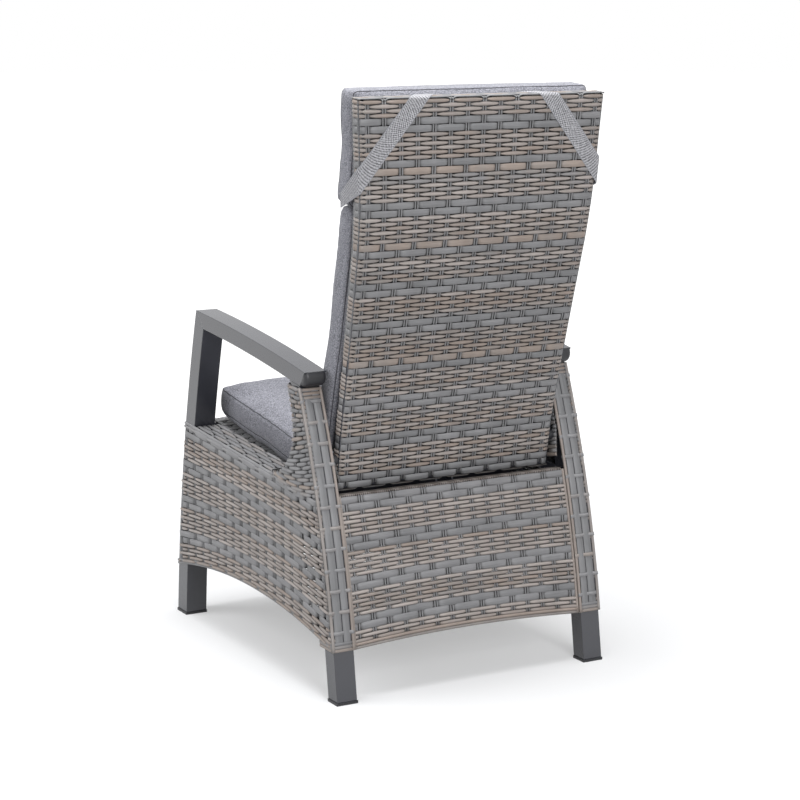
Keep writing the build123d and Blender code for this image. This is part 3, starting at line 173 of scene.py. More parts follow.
powder_coat, tree, place = new_material("satin_powder_coat")
peel, cloud = noise(tree, place, 900.0), noise(tree, place, 14.0, 3.0)
tint = node(
    tree, "ShaderNodeMix", [(0, cloud)], [(6, colour("313238")), (7, colour("393a41"))], data_type="RGBA"
)
edge = node(tree, "ShaderNodeBevel", (), [("Radius", 0.0022)], samples=6)
bump = node(
    tree, "ShaderNodeBump", [("Height", peel), ("Normal", edge)], [("Strength", 0.04), ("Distance", 0.0002)]
)
surface(
    tree,
    [("Base Color", tint.outputs[2]), ("Normal", bump)],
    [("Roughness", 0.22), ("Specular IOR Level", 0.85)],
)
tubes = ("_leg_", "armrest_left", "armrest_right", "tube", "_rail", "_stile_", "bracket", "crank_plate")
dress(powder_coat, [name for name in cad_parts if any(word in name for word in tubes)])

# Backrest: one skin of extruded resin strands, woven round the whole bent frame.
# Half-round narrow rows and flat wide ones float over one pair of stakes and dive under the next.
middle_x, shift_y = 0.00665, -0.01408

# A profile's points lie across and outwards, in halves of the strand's width and thickness.
# Rows are narrow in mixed tones, n, or in greys, m, and flat in grey, g, or in tan, t.
# A dive's steps give shares of its run and its rise, and how far the strand is spread there.
profiles = {
    "narrow": [(-1, -0.6), (-0.84, 0.3), (-0.4, 0.9), (0.4, 0.9), (0.84, 0.3), (1, -0.6)],
    "flat": [(-1, -0.6), (-0.9, 0.6), (0, 0.85), (0.9, 0.6), (1, -0.6), (0, -0.9)],
    "round": [(-0.87, -0.5), (-0.87, 0.5), (0, 1), (0.87, 0.5), (0.87, -0.5), (0, -1)],
}
row_pitch = {"n": 0.0080, "m": 0.0080, "g": 0.0137, "t": 0.0137}
lift, dive_run = 0.0020, 0.0110
dive = ((0.42, 0.12, 0.35), (0.68, 0.75, 0.28), (1.0, 1.0, 0.5))
stake_radius, stake_spread = 0.0017, 0.0026
luck = random.Random(7)


def placed(x, y, z):
    """Points in the shared frame, from distances to the chair's middle plane, depths and heights."""
    return np.stack(np.broadcast_arrays(middle_x + x, y + shift_y, z), axis=-1).astype(float)


def new_weave():
    """Lists that gather the strands of one woven piece."""
    return {"verts": [], "faces": [], "tone": [], "rib": [], "run": [], "painted_shade": [], "count": 0}


def along(points):
    """Running length of a line of points."""
    steps = np.linalg.norm(np.diff(points, axis=0), axis=1)
    return np.concatenate([[0.0], np.cumsum(steps)])


def unit(vectors):
    """Vectors brought to length one."""
    return vectors / np.maximum(np.linalg.norm(vectors, axis=-1, keepdims=True), 1e-12)


def lay(weave, points, out, half, thick, profile, tone, closed=False, painted_shade=1.0, edge=0.35):
    """Lays a strand along points, its crown towards out. Half and thick are half its width and thickness."""
    points = np.asarray(points, float)
    count = len(points)
    ring = np.array(profiles[profile], float)
    size = len(ring)
    if closed:
        travel = unit(np.roll(points, -1, axis=0) - np.roll(points, 1, axis=0))
    else:
        travel = unit(np.gradient(points, axis=0))
    across = unit(np.cross(travel, np.broadcast_to(out, points.shape)))
    crown = unit(np.cross(across, travel))
    half, thick, tone, painted_shade = (np.broadcast_to(value, count) for value in (half, thick, tone, painted_shade))
    verts = points[:, None, :] + across[:, None, :] * half[:, None, None] * ring[None, :, :1]
    verts = verts + crown[:, None, :] * thick[:, None, None] * ring[None, :, 1:]
    i = np.arange(count if closed else count - 1)[:, None]
    j = np.arange(size)[None, :]
    ahead, beside = (i + 1) % count, (j + 1) % size
    quads = np.stack([i * size + j, i * size + beside, ahead * size + beside, ahead * size + j], axis=-1)
    start = weave["count"]
    weave["faces"] += (quads.reshape(-1, 4) + start).tolist()
    if not closed:
        weave["faces"].append([start + k for k in reversed(range(size))])
        weave["faces"].append([start + (count - 1) * size + k for k in range(size)])
    weave["verts"].append(verts.reshape(-1, 3))
    weave["tone"].append(np.repeat(tone, size))
    weave["rib"].append(np.tile(ring[:, 0], count))
    weave["run"].append(np.repeat(along(points), size))
    # Painted shade: shade darkens the colour at each station, and edge darkens the lower sides and underside,
    # in place of the shadow between strands.
    weave["painted_shade"].append(np.outer(painted_shade, 1 - edge * (ring[:, 1] < 0.5) - edge * (ring[:, 1] < 0)).ravel())
    weave["count"] += count * size


def follow(points, out, places):
    """Points and outward directions at running lengths along a line."""
    lengths = along(points)
    at = np.stack([np.interp(places, lengths, points[:, k]) for k in range(3)], axis=1)
    turned = np.stack([np.interp(places, lengths, out[:, k]) for k in range(3)], axis=1)
    return at, unit(turned)


def floats(knots, levels, plain):
    """Places, heights and spreads along a row that floats level and dives sharply, or simply within plain."""
    spots = []
    for a, b, low, high in zip(knots, knots[1:], levels, levels[1:]):
        top, middle = max(low, high), (a + b) / 2
        reach = min(dive_run, 0.45 * (b - a))
        sharp = not plain[0] < middle < plain[1]
        spots.append((a, low, 1.0 if low > 0 else 0.6))
        if sharp and low < top:
            spots += [(a + reach * s, low + (top - low) * rise, spread) for s, rise, spread in dive]
        spots.append((middle, top, 0.85))
        if sharp and high < top:
            ends = reversed(dive)
            spots += [(b - reach * s, high + (top - high) * rise, spread) for s, rise, spread in ends]
    spots.append((knots[-1], levels[-1], 1.0 if levels[-1] > 0 else 0.6))
    return np.array(spots).T


def lay_row(weave, points, out, stakes, row, kind, pitch, ends=0.7, closed=False, plain=(1, 0), full=0.0):
    """Lays a row over and under its stakes, given as running length and number, which is None at a corner."""
    points = np.asarray(points, float)
    out = np.broadcast_to(np.asarray(out, float), points.shape)
    knots = [0.0] + [place for place, number in stakes] + [along(points)[-1]]
    levels = [0.7 if number is None else 1.0 - 2 * ((number + row) % 2) for place, number in stakes]
    places, heights, spreads = floats(knots, [ends] + levels + [ends], plain)
    if kind in "nm":
        half, thick = pitch / 2 * (0.40 + full + (0.66 - full) * spreads), 0.0018 + 0.0012 * full
        profile, base = "narrow", 0.42 + 0.48 * luck.random() if kind == "n" else 0.2 + 0.34 * luck.random()
    else:
        half, thick = pitch / 2 * (0.86 + 0.26 * full + 0.12 * spreads), 0.0010
        profile, base = "flat", 0.53 if kind == "t" else 0.22 + 0.14 * luck.random()
    tones = base + np.interp(places, knots, [luck.uniform(-0.05, 0.05) for knot in knots])
    # Painted shade: the strand darkens where it dives low under a stake, in place of the shadow there.
    painted_shade = np.clip(0.60 + 0.50 * heights, 0.15, 1)
    if closed:
        lists = (places, heights, half, tones, painted_shade)
        places, heights, half, tones, painted_shade = (values[:-1] for values in lists)
    at, turned = follow(points, out, places)
    line = at + turned * (heights * lift)[:, None]
    # The last value darkens the strand's lower edges as painted shade, in place of the shadow between rows.
    lay(weave, line, turned, half, thick, profile, tones, closed, painted_shade, 0.42 + 0.14 * full)


def lay_stakes(weave, points, out, tone=0.24):
    """Lays a pair of thin round stakes side by side."""
    points, out = np.asarray(points, float), np.broadcast_to(out, np.shape(points))
    across = unit(np.cross(unit(np.gradient(points, axis=0)), out))
    for side in (-stake_spread, stake_spread):
        own = tone + 0.1 * luck.random()
        lay(weave, points + across * side, out, stake_radius, stake_radius, "round", own)


def made_piece(weave, name, body, material, *nodes):
    """Makes the gathered strands one mesh, with its attributes, material and body."""
    mesh = bpy.data.meshes.new(name)
    mesh.from_pydata(np.concatenate(weave["verts"]).tolist(), [], weave["faces"])
    for key in ("tone", "rib", "run", "painted_shade"):
        layer = mesh.attributes.new(key, "FLOAT", "POINT")
        layer.data.foreach_set("value", np.concatenate(weave[key]).astype(np.float32))
    mesh.materials.append(material)
    mesh.shade_smooth()
    piece = add_object(name, mesh)
    if nodes:
        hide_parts(*nodes)
    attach(piece, body)
    return piece


# Resin strands are extruded polyethylene: matte, finely ribbed lengthwise, in mixed greys, tans and taupes.
# The tone attribute picks the strand's colour, rib and run lay its ribs and streaks, and shade is painted
# shade that darkens it along its edges and where it dives under a stake, in place of the shadow there.
resin, tree, place = new_material("extruded_polyethylene_strand")
tone, rib, run, painted_shade = (
    node(tree, "ShaderNodeAttribute", attribute_name=name).outputs["Fac"]
    for name in ("tone", "rib", "run", "painted_shade")
)
greys = ((0.0, "494745"), (0.12, "7f7d7b"), (0.2, "808081"), (0.38, "919091"), (0.46, "97908b"))
tans = ((0.54, "a09288"), (0.62, "9e958f"), (0.8, "ada49e"), (1.0, "bbb2ac"))
ramp = node(tree, "ShaderNodeValToRGB", [("Fac", tone)], stops=greys + tans)
lengthwise = node(tree, "ShaderNodeCombineXYZ", [("X", rib), ("Y", run)])
stretched = node(tree, "ShaderNodeMapping", [("Vector", lengthwise)], [("Scale", (2.5, 12.0, 1.0))])
streak, cloud = noise(tree, stretched, 1.0, 3.0), noise(tree, place, 22.0)
wear = node(tree, "ShaderNodeMath", [(0, streak), (1, cloud)], operation="ADD")
worn = node(
    tree,
    "ShaderNodeMapRange",
    [("Value", wear)],
    [("From Min", 0.6), ("From Max", 1.4), ("To Min", 0.80), ("To Max", 1.20)],
)
# Painted shade: the shade attribute scales the colour down at the strand's edges and dives.
level = node(tree, "ShaderNodeMath", [(0, worn), (1, painted_shade)], operation="MULTIPLY")
tinted = node(tree, "ShaderNodeVectorMath", [(0, ramp), ("Scale", level)], operation="SCALE")
ribs = node(tree, "ShaderNodeMath", [(0, rib)], [(1, 15.0)], operation="MULTIPLY")
groove = node(tree, "ShaderNodeMath", [(0, ribs)], operation="SINE")
bump = node(tree, "ShaderNodeBump", [("Height", groove)], [("Strength", 0.35), ("Distance", 0.0002)])
surface(
    tree, [("Base Color", tinted), ("Normal", bump)], [("Roughness", 0.48), ("Specular IOR Level", 0.45)]
)

back_length, back_depth, skin = 0.7632, 0.033, 0.0032
back_gaps, edge_room, corner = 14, 0.017, 0.009
back_foot_y, back_foot_z, back_rise = 0.2583, 0.3835, 0.7495
back_foot_half, back_widening, back_waist = 0.2405, 0.0275, 0.0228
lean_places = [0, 0.0524, 0.152, 0.4504, 0.6324, back_length]
lean_angles = np.radians([8.8, 8.8, 14.5, 14.5, 4.1, 4.1])
ups = np.linspace(0, back_length, 800)
leans = np.interp(ups, lean_places, lean_angles)
bends = (leans[1:] + leans[:-1]) / 2
rear_y = back_foot_y + shift_y + np.concatenate([[0], np.cumsum(np.sin(bends) * ups[1])])
rear_z = back_foot_z + np.concatenate([[0], np.cumsum(np.cos(bends) * ups[1])])


def back_spot(up, depth):
    """Point and lean at a length up the backrest and a depth in front of its rear face."""
    lean = np.interp(up, ups, leans)
    over = up - np.clip(up, 0, back_length)
    y = np.interp(up, ups, rear_y) - depth * np.cos(lean) + over * np.sin(lean)
    z = np.interp(up, ups, rear_z) + depth * np.sin(lean) + over * np.cos(lean)
    return y, z, lean


def back_half(z):
    """Half the backrest's width at a height."""
    share = (z - back_foot_z) / back_rise
    return back_foot_half + back_widening * share - back_waist * share * (1 - share)


def ring_round(width, depth):
    """Closed rounded rectangle from the middle of its rear side, with outward directions, across and deep."""
    line, out = [(0, 0)], [(0, -1)]
    for x, y, turn in (
        (width / 2 - corner, corner, -90),
        (width / 2 - corner, depth - corner, 0),
        (corner - width / 2, depth - corner, 90),
        (corner - width / 2, corner, 180),
    ):
        for k in range(7):
            angle = math.radians(turn + 15 * k)
            line.append((x + corner * math.cos(angle), y + corner * math.sin(angle)))
            out.append((math.cos(angle), math.sin(angle)))
    return np.array(line + [(0, 0)]), np.array(out + [(0, -1)])


def rows_of(pattern, length):
    """Middles of the rows from the start of a length, with their kinds and their pitches."""
    kinds = pattern.replace(" ", "")
    total = sum(row_pitch[kind] for kind in kinds)
    rows, place = [], 0.0
    for kind in kinds:
        pitch = row_pitch[kind] * length / total
        rows.append((place + pitch / 2, kind, pitch))
        place += pitch
    return rows


weave = new_weave()
pattern = "nnnn gg nnnnnn gt nnnnnn gg nnnnnn tg nnnnnn gg nnnnnn gg nnnnnn tg nnnnnn gg nnnnnn gg nnnnnn gg"
for row, (place, kind, pitch) in enumerate(rows_of(pattern, back_length - 2 * skin)):
    y, z, lean = back_spot(back_length - skin - place, skin)
    half = back_half(z) - skin
    ring, ring_out = ring_round(2 * half, back_depth - 2 * skin)
    slant = np.array([-math.cos(lean), math.sin(lean)])
    spots = np.c_[middle_x + ring[:, 0], np.array([y, z]) + ring[:, 1:] * slant]
    turned = np.c_[ring_out[:, 0], ring_out[:, 1:] * slant]
    total = along(spots)[-1]
    side_run = (total - 4 * (half - corner)) / 2
    stakes = []
    for k in range(back_gaps + 1):
        across = (half - edge_room) * (2 * k / back_gaps - 1)
        if k != back_gaps // 2:
            stakes.append((across % total, k))
        stakes.append((2 * (half - corner) + side_run - across, k))
    for turn in (half - 0.004, half - corner + side_run - 0.005):
        stakes += [(turn, None), (total - turn, None)]
    middle = 1.0 - 2 * ((back_gaps // 2 + row) % 2)
    front = (half + side_run, total - half - side_run)
    stakes.sort(key=lambda stake: stake[0])
    lay_row(weave, spots, turned, stakes, row, kind, pitch, middle, True, front)

# Stakes go up the rear face, over the top and down the front.
for k in range(back_gaps + 1):
    climbs = [(up, skin, (0, 1, 0)) for up in np.linspace(0.009, back_length - skin, 24)]
    climbs += [(back_length - skin, depth, (0, 0, 1)) for depth in (0.0105, 0.0225)]
    climbs += [(up, back_depth - skin, (0, -1, 0)) for up in np.linspace(back_length - skin, 0.009, 12)]
    line = []
    for up, depth, facing in climbs:
        y, z, lean = back_spot(up, depth)
        line.append((middle_x + (back_half(z) - skin - edge_room) * (2 * k / back_gaps - 1), y, z))
    lay_stakes(weave, line, np.array([facing for up, depth, facing in climbs], float))

# Rims close the top and the bottom edge.
for up, facing in ((back_length - skin, 1), (skin, -1)):
    for n, depth in enumerate((0.0045, 0.0125, 0.0205, 0.0285)):
        y, z, lean = back_spot(up, depth)
        half = back_half(z) - 0.004
        line = [(middle_x + x, y, z) for x in np.linspace(-half, half, 40)]
        out = (0, facing * math.sin(lean), facing * math.cos(lean))
        stakes = [(half + (half - edge_room) * (2 * k / back_gaps - 1), k) for k in range(back_gaps + 1)]
        lay_row(weave, line, out, stakes, n, "m", 0.0085)
made_piece(weave, "backrest_woven_skin", "backrest", resin, "backrest_weave")

# Side panels: the same weave round the side frames, with upright stakes and a column round the rear leg.
# Rows follow the arched bottom, fan out round the fillet and wrap the front leg and the column.


def circle_through(start, end, bow):
    """Centre and radius of the arc from start to end that stands bow off its chord."""
    run, rise = end[0] - start[0], end[1] - start[1]
    chord = math.hypot(run, rise)
    radius = (chord * chord / 4 + bow * bow) / (2 * abs(bow))
    back = math.copysign(radius, bow) - bow
    return (start[0] + end[0]) / 2 + rise / chord * back, (start[1] + end[1]) / 2 - run / chord * back, radius


def arc_line(start, end, bow, count):
    """Points of that arc."""
    y, z, radius = circle_through(start, end, bow)
    first = math.atan2(start[1] - z, start[0] - y)
    turn = (math.atan2(end[1] - z, end[0] - y) - first + math.pi) % (2 * math.pi) - math.pi
    angles = first + turn * np.linspace(0, 1, count)
    return np.stack([y + radius * np.cos(angles), z + radius * np.sin(angles)], axis=1)


front_circle = circle_through((-0.3715, 0), (-0.249, 0.671), 0.019)
rear_circle = circle_through((0.3575, 0.098), (0.2205, 0.590), -0.0156)
over_tube = 0.004


def front_edge(z):
    """Depth of the woven front edge at a height."""
    return front_circle[0] - np.sqrt(front_circle[2] ** 2 - (z - front_circle[1]) ** 2) - over_tube


def rear_edge(z):
    """Depth of the woven rear edge at a height."""
    return rear_circle[0] + np.sqrt(rear_circle[2] ** 2 - (z - rear_circle[1]) ** 2) + over_tube


front_high, arch_front, arch_rear, arch_bow = 0.427, 0.104, 0.098, 0.0405
front_top = (front_edge(front_high), front_high)
fillet_foot, waist, column_top = (0.0905, 0.398), (0.1935, 0.485), (0.1715, 0.5865)
top_fall = (fillet_foot[1] - front_top[1]) / (fillet_foot[0] - front_top[0])
arch_ends = (front_edge(arch_front), arch_front), (rear_edge(arch_rear), arch_rear)
arch = circle_through(*arch_ends, arch_bow)


def top_line(y):
    """Height of the panel's top edge, carried straight on through the column."""
    return front_top[1] + top_fall * (y - front_top[0])


def bottom_line(y):
    """Height of the panel's arched bottom edge."""
    return arch[1] + np.sqrt(arch[2] ** 2 - (y - arch[0]) ** 2)


outer_x, seat_x, column_x = 0.303, 0.240, 0.253
stake_pitch, column_rows, column_high = 0.038, 26, 0.583
rear_stakes = ((0.016, 0.582), (0.046, 0.582), (0.077, 0.45))
column_foot = top_line(0.28)
side_pattern = "gg nnnnnn gg nnnnnn gg nnnnnn gg nnnnn"
fillet = arc_line(fillet_foot, waist, -0.026, 16)
inner_line = np.concatenate([fillet, arc_line(waist, column_top, -0.006, 10)[1:]])
inner_lengths = along(inner_line)


def wrap_path(sign, line, inner_x, back=False):
    """Path of a row: round the rear edge, along the outer face, round the front and, on a column, back."""
    outer, bend = outer_x - skin, 0.008
    inside = along(line)
    rear_way, front_way = unit(line[0] - line[1]), unit(line[-1] - line[-2])

    def bent(x, end, way, angle, side=1):
        """A place on the bend at an end of the line, from the face at x on one side, and its direction."""
        spot = end - way * bend * (1 - math.sin(angle))
        near = x - side * bend * (1 - math.cos(angle))
        return (near, *spot, side * math.cos(angle), *(way * math.sin(angle)))

    spots = [bent(outer, line[0], rear_way, angle) for angle in np.radians((75, 37.5, 0))]
    for spot, place in zip(line, inside):
        if bend < place < inside[-1] - bend:
            spots.append((outer, *spot, 1, 0, 0))
    spots += [bent(outer, line[-1], front_way, angle) for angle in np.radians((0, 18, 36, 54, 72, 90))]
    if back:
        angles = np.radians((72, 54, 36, 18, 0))
        spots += [bent(inner_x + skin, line[-1], front_way, angle, -1) for angle in angles]
        for spot, place in zip(line[::-1], (inside[-1] - inside)[::-1]):
            if bend < place < inside[-1] - 0.004:
                spots.append((inner_x + skin, *spot, -1, 0, 0))
    else:
        spots.append((inner_x - 0.004, *line[-1], 0, *front_way))
    spots = np.array(spots)
    return placed(sign * spots[:, 0], spots[:, 1], spots[:, 2]), spots[:, 3:] * (sign, 1, 1)


def lay_side_row(weave, sign, path, out, stakes, row, kind, pitch):
    """Lays a row on its own side, turned round on the right one so that its crown faces out."""
    if sign < 0:
        total = along(path)[-1]
        path, out = path[::-1], out[::-1]
        stakes = [(total - place, number) for place, number in reversed(stakes)]
    lay_row(weave, path, out, stakes, row, kind, pitch, full=0.36)


for side, sign in (("left", 1), ("right", -1)):
    weave = new_weave()
    outer_face = sign * (outer_x - skin)
    for row, (place, kind, pitch) in enumerate(rows_of(side_pattern, 1.0)):
        ys = np.linspace(0.37, -0.37, 90)
        zs = bottom_line(ys) + 0.004 + (1 - place) * (top_line(ys) - bottom_line(ys) - 0.008)
        keep = (ys > front_edge(zs) + skin) & (ys < rear_edge(zs) - skin)
        line = np.stack([ys, zs], axis=1)[keep]
        path, out = wrap_path(sign, line, seat_x)
        lengths = along(path)
        flat = np.abs(path[:, 0] - middle_x) > outer_x - skin - 0.002
        rear = line[0][0]
        first = math.floor((rear - 0.099) / stake_pitch)
        crossings = [(rear - gap, first + 3 - n) for n, (gap, high) in enumerate(rear_stakes)]
        last = line[-1][0] + 0.012
        crossings += [(n * stake_pitch, n) for n in range(first, -20, -1) if n * stake_pitch > last]
        stakes = [(0.008, None)]
        stakes += [
            (np.interp(shift_y - y, -path[flat, 1] + 2 * shift_y, lengths[flat]), number)
            for y, number in crossings
        ]
        turn = lengths[flat][-1]
        stakes += [(turn + 0.006, None), ((turn + lengths[-1]) / 2 + 0.004, row)]
        height = pitch * np.mean(top_line(line[:, 0]) - bottom_line(line[:, 0]))
        lay_side_row(weave, sign, path, out, stakes, row, kind, height)

    # The column's rows turn from the panel's slope to level, and go round its inner side too.
    for row in range(column_rows):
        share = (row + 0.5) / column_rows
        z_rear = column_foot + share * (column_high - column_foot)
        end = [np.interp(share * inner_lengths[-1], inner_lengths, inner_line[:, k]) for k in (0, 1)]
        near = min(share / 0.45, 1)
        line = np.linspace((rear_edge(z_rear) - skin, z_rear), end, 24)
        line[:, 1] -= 0.012 * (1 - near) * np.sin(np.linspace(0, math.pi, 24))
        inner = seat_x + (column_x - seat_x) * near
        path, out = wrap_path(sign, line, inner, back=share > 0.12)
        run = float(np.hypot(*(line[0] - line[-1])))
        count, width = max(2, round(run / 0.030)), outer_x - inner
        stakes = [(0.007, None)]
        stakes += [(run * (k + 0.62) / (count + 0.24), k + 1) for k in range(count)]
        stakes += [(run + 0.004, None), (run + width / 2 - 0.004, 0)]
        if share > 0.12:
            stakes.append((run + width - 0.008, None))
            rest = along(path)[-1] - run - width
            if rest > 0.03:
                stakes += [(run + width + rest * (k + 0.5) / 2, k) for k in range(2)]
        lay_side_row(weave, sign, path, out, stakes, row, "m", 0.0086)

    # Stakes stand upright along the panel, and lean with the rear leg beside it.
    for n in range(-10, 7):
        y = n * stake_pitch
        low, high = bottom_line(y) + 0.004, top_line(y) - 0.002
        if y < front_top[0] + 0.012:
            zs = np.linspace(0.1, front_high, 60)
            high = max([z for z in zs if front_edge(z) < y - 0.012], default=0)
        if y > rear_edge(0.25) - 0.10:
            high = 0.30
        if high > low + 0.02:
            lay_stakes(weave, placed(outer_face, y, np.linspace(low, high, 14)), (sign, 0, 0))
    for gap, high in rear_stakes:
        zs = np.linspace(bottom_line(rear_edge(0.12) - gap) + 0.003, high, 30)
        lay_stakes(weave, placed(outer_face, rear_edge(zs) - gap, zs), (sign, 0, 0))
    zs = np.linspace(0.106, 0.425, 30)
    lay_stakes(weave, placed(sign * 0.272, front_edge(zs) + skin, zs), (0, -1, 0))

    # Round cords rim the arched bottom and the sloping top.
    ys = np.linspace(arch_ends[0][0] + 0.004, arch_ends[1][0] - 0.004, 60)
    for rise, x in ((0.0, outer_x - 0.0045), (0.006, outer_x - 0.004), (-0.0015, outer_x - 0.011)):
        line = placed(sign * x, ys, bottom_line(ys) + 0.0035 + rise)
        lay(weave, line, (sign, 0, -0.3), 0.0034, 0.0034, "round", 0.26 + 0.2 * luck.random())
    ys = np.linspace(front_top[0] + 0.002, fillet_foot[0], 50)
    for drop, x in ((0.0035, outer_x - 0.0045), (0.010, outer_x - 0.0036)):
        turn = fillet[1:4] + (0.4 * drop, -0.8 * drop)
        line = placed(sign * x, np.r_[ys, turn[:, 0]], np.r_[top_line(ys) - drop, turn[:, 1]])
        lay(weave, line, (sign, 0, 0.5), 0.0034, 0.0034, "round", 0.26 + 0.2 * luck.random())

    # The panel's flat top beside the cushion has rows that run lengthwise.
    ys = np.linspace(front_top[0] + 0.050, fillet_foot[0] + 0.02, 60)
    tops = np.maximum(top_line(ys), np.interp(ys, fillet[:, 0], fillet[:, 1])) - skin
    crossings = [k for k in range(-9, 8) if ys[0] + 0.01 < k * stake_pitch < ys[-1] - 0.01]
    for n in range(5):
        line = placed(sign * (outer_x - 0.014 - n * 0.0108), ys, tops)
        stakes = [(np.interp(k * stake_pitch, ys, along(line)), k) for k in crossings]
        lay_row(weave, line, (0, 0, 1), stakes, n, "m", 0.0110)
    for k in crossings:
        xs = sign * np.linspace(outer_x - 0.006, seat_x + 0.002, 8)
        lay_stakes(weave, placed(xs, k * stake_pitch, top_line(k * stake_pitch) - skin), (0, 0, 1))

    # The column's rear face has two flat strands between light cords, bound across by turns.
    zs = np.linspace(0.1, column_high, 60)
    for x, half, profile, thick, tone in (
        (0.2995, 0.0033, "round", 0.0033, 0.45),
        (0.2862, 0.0088, "flat", 0.0010, 0.20),
        (0.2688, 0.0078, "flat", 0.0010, 0.24),
        (0.2565, 0.0032, "round", 0.0032, 0.50),
    ):
        lay(weave, placed(sign * x, rear_edge(zs) - 0.0033, zs), (0, 1, 0.25), half, thick, profile, tone)
    for k in range(12):
        z = 0.135 + 0.0385 * k
        knots = [0.3035, 0.2995, 0.2945, 0.2862, 0.2775, 0.2688, 0.260, 0.2565, 0.2532]
        rises = [0.2, 1.2, 0, -1, 0, 1.0, 0, -1, -1] if k % 2 else [-1, -1, 0, 1.0, 0, -1, 0, 1.2, 0.2]
        xs = np.linspace(knots[0], knots[-1], 25)[::sign]
        rise = np.interp(-xs, [-x for x in knots], rises) * 0.0021
        line = placed(sign * xs, rear_edge(z) - 0.0025 + rise, z)
        lay(weave, line, (0, 1, 0.2), 0.0036, 0.0009, "flat", 0.30 + 0.2 * luck.random())

    # Three turns of strand finish the column's top under the armrest, and three more its foot.
    for z, step, near, front, tones in (
        (0.5795, -0.0072, column_x, column_top[0] + 0.0032, (0.57, 0.54, 0.6)),
        (0.1150, -0.0062, seat_x + 0.012, rear_edge(0.11) - 0.062, (0.30, 0.42, 0.5)),
    ):
        for k, tone in enumerate(tones):
            rear, ahead = rear_edge(z + k * step) - 0.0028, front + 0.0012 * k
            turns = [(near + 0.003, rear - 0.0005, 0, 1), (outer_x - 0.008, rear, 0, 1)]
            turns += [(outer_x - 0.0045, rear - 0.002, 0.7, 0.7), (outer_x - 0.0026, rear - 0.006, 1, 0)]
            turns += [(outer_x - 0.0026, ahead + 0.006, 1, 0), (outer_x - 0.005, ahead + 0.001, 0.7, -0.7)]
            turns += [(outer_x - 0.009, ahead, 0, -1), (near + 0.004, ahead, 0, -1)]
            turns = np.array(turns[::sign])
            line = placed(sign * turns[:, 0], turns[:, 1], z + k * step)
            facing = np.c_[sign * turns[:, 2], turns[:, 3], 0 * turns[:, 3]]
            lay(weave, line, facing, 0.0035, 0.0018, "narrow", tone)
    made_piece(weave, f"side_panel_{side}_woven", "frame", resin, f"side_panel_{side}")

# End panels: flat weaves between the side frames, behind and in front under the seat.
# A whipped cord closes the rear one's top edge, and round cords close the sides and arched bottoms of both.
deck_top, end_bow = 0.430, 0.010


def face_y(z, facing):
    """Depth of an end panel's mid-plane at a height."""
    return rear_edge(z) - 0.006 - skin if facing > 0 else front_edge(z) + skin


def end_arch(x, half):
    """Rise of an end panel's arched bottom at a distance from its middle."""
    return end_bow * (1 - (x / half) ** 2)


for name, half, pattern, facing, low, high, gaps in (
    ("rear_panel", 0.2525, "gg nnnnnn gg nnnnnn gg nnnnnn gg nnn", 1, arch_rear, 0.3835, 14),
    ("front_panel", 0.2395, side_pattern, -1, arch_front, deck_top, 13),
):
    weave = new_weave()
    for row, (place, kind, pitch) in enumerate(rows_of(pattern, 1.0)):
        xs = np.linspace(half - 0.001, 0.001 - half, 50)[::facing]
        lows = low + 0.011 + end_arch(xs, half)
        zs = lows + (1 - place) * (high - 0.004 - lows)
        line = placed(xs, face_y(zs, facing), zs)
        stakes = [(half - 0.001 + (half - 0.012) * (2 * k / gaps - 1), k) for k in range(gaps + 1)]
        height = pitch * (high - low - 0.021)
        lay_row(weave, line, (0, facing, 0.15), stakes, row, kind, height, full=0.56)
    for k in range(gaps + 1):
        x = (half - 0.012) * (1 - 2 * k / gaps)
        zs = np.linspace(low + 0.012 + end_arch(x, half), high - 0.004, 24)
        lay_stakes(weave, placed(x, face_y(zs, facing), zs), (0, facing, 0.1))
    for n, rise in enumerate((0.0035, 0.0095)):
        xs = np.linspace(half - 0.0005, 0.0005 - half, 40)
        line = placed(xs, face_y(low, facing) + facing * 0.0005, low + rise + end_arch(xs, half))
        lay(weave, line, (0, facing, -0.3), 0.0034, 0.0034, "round", 0.45 + 0.1 * n)
    for edge in (0.0008 - half, half - 0.0008):
        zs = np.linspace(low + 0.002, high - 0.002, 24)
        line = placed(edge, face_y(zs, facing) + facing * 0.002, zs)
        lay(weave, line, (0, facing, 0), 0.0032, 0.0032, "round", 0.5)
    if facing > 0:
        face, turns = face_y(high, facing) + shift_y, 120
        corners = [(0.2532, 0.3275), (0.2532, 0.3808), (face - 0.002, 0.3814), (face, 0.3785)]
        corners += [(face - 0.005, 0.3700), (0.2764, 0.3275)]
        xs = np.linspace(0.001 - half, half - 0.001, turns * len(corners))
        line = np.c_[middle_x + xs, np.tile(corners, (turns, 1))]
        swing = np.tile(np.c_[np.zeros(len(corners)), np.array(corners) - (0.27, 0.355)], (turns, 1))
        # The cord's lower sides are darkened by edge as painted shade.
        lay(weave, line, swing, 0.0015, 0.0013, "round", 0.45 + 0.5 * np.sin(xs * 90) ** 2, edge=0.3)
    made_piece(weave, f"{name}_woven", "frame", resin, name)

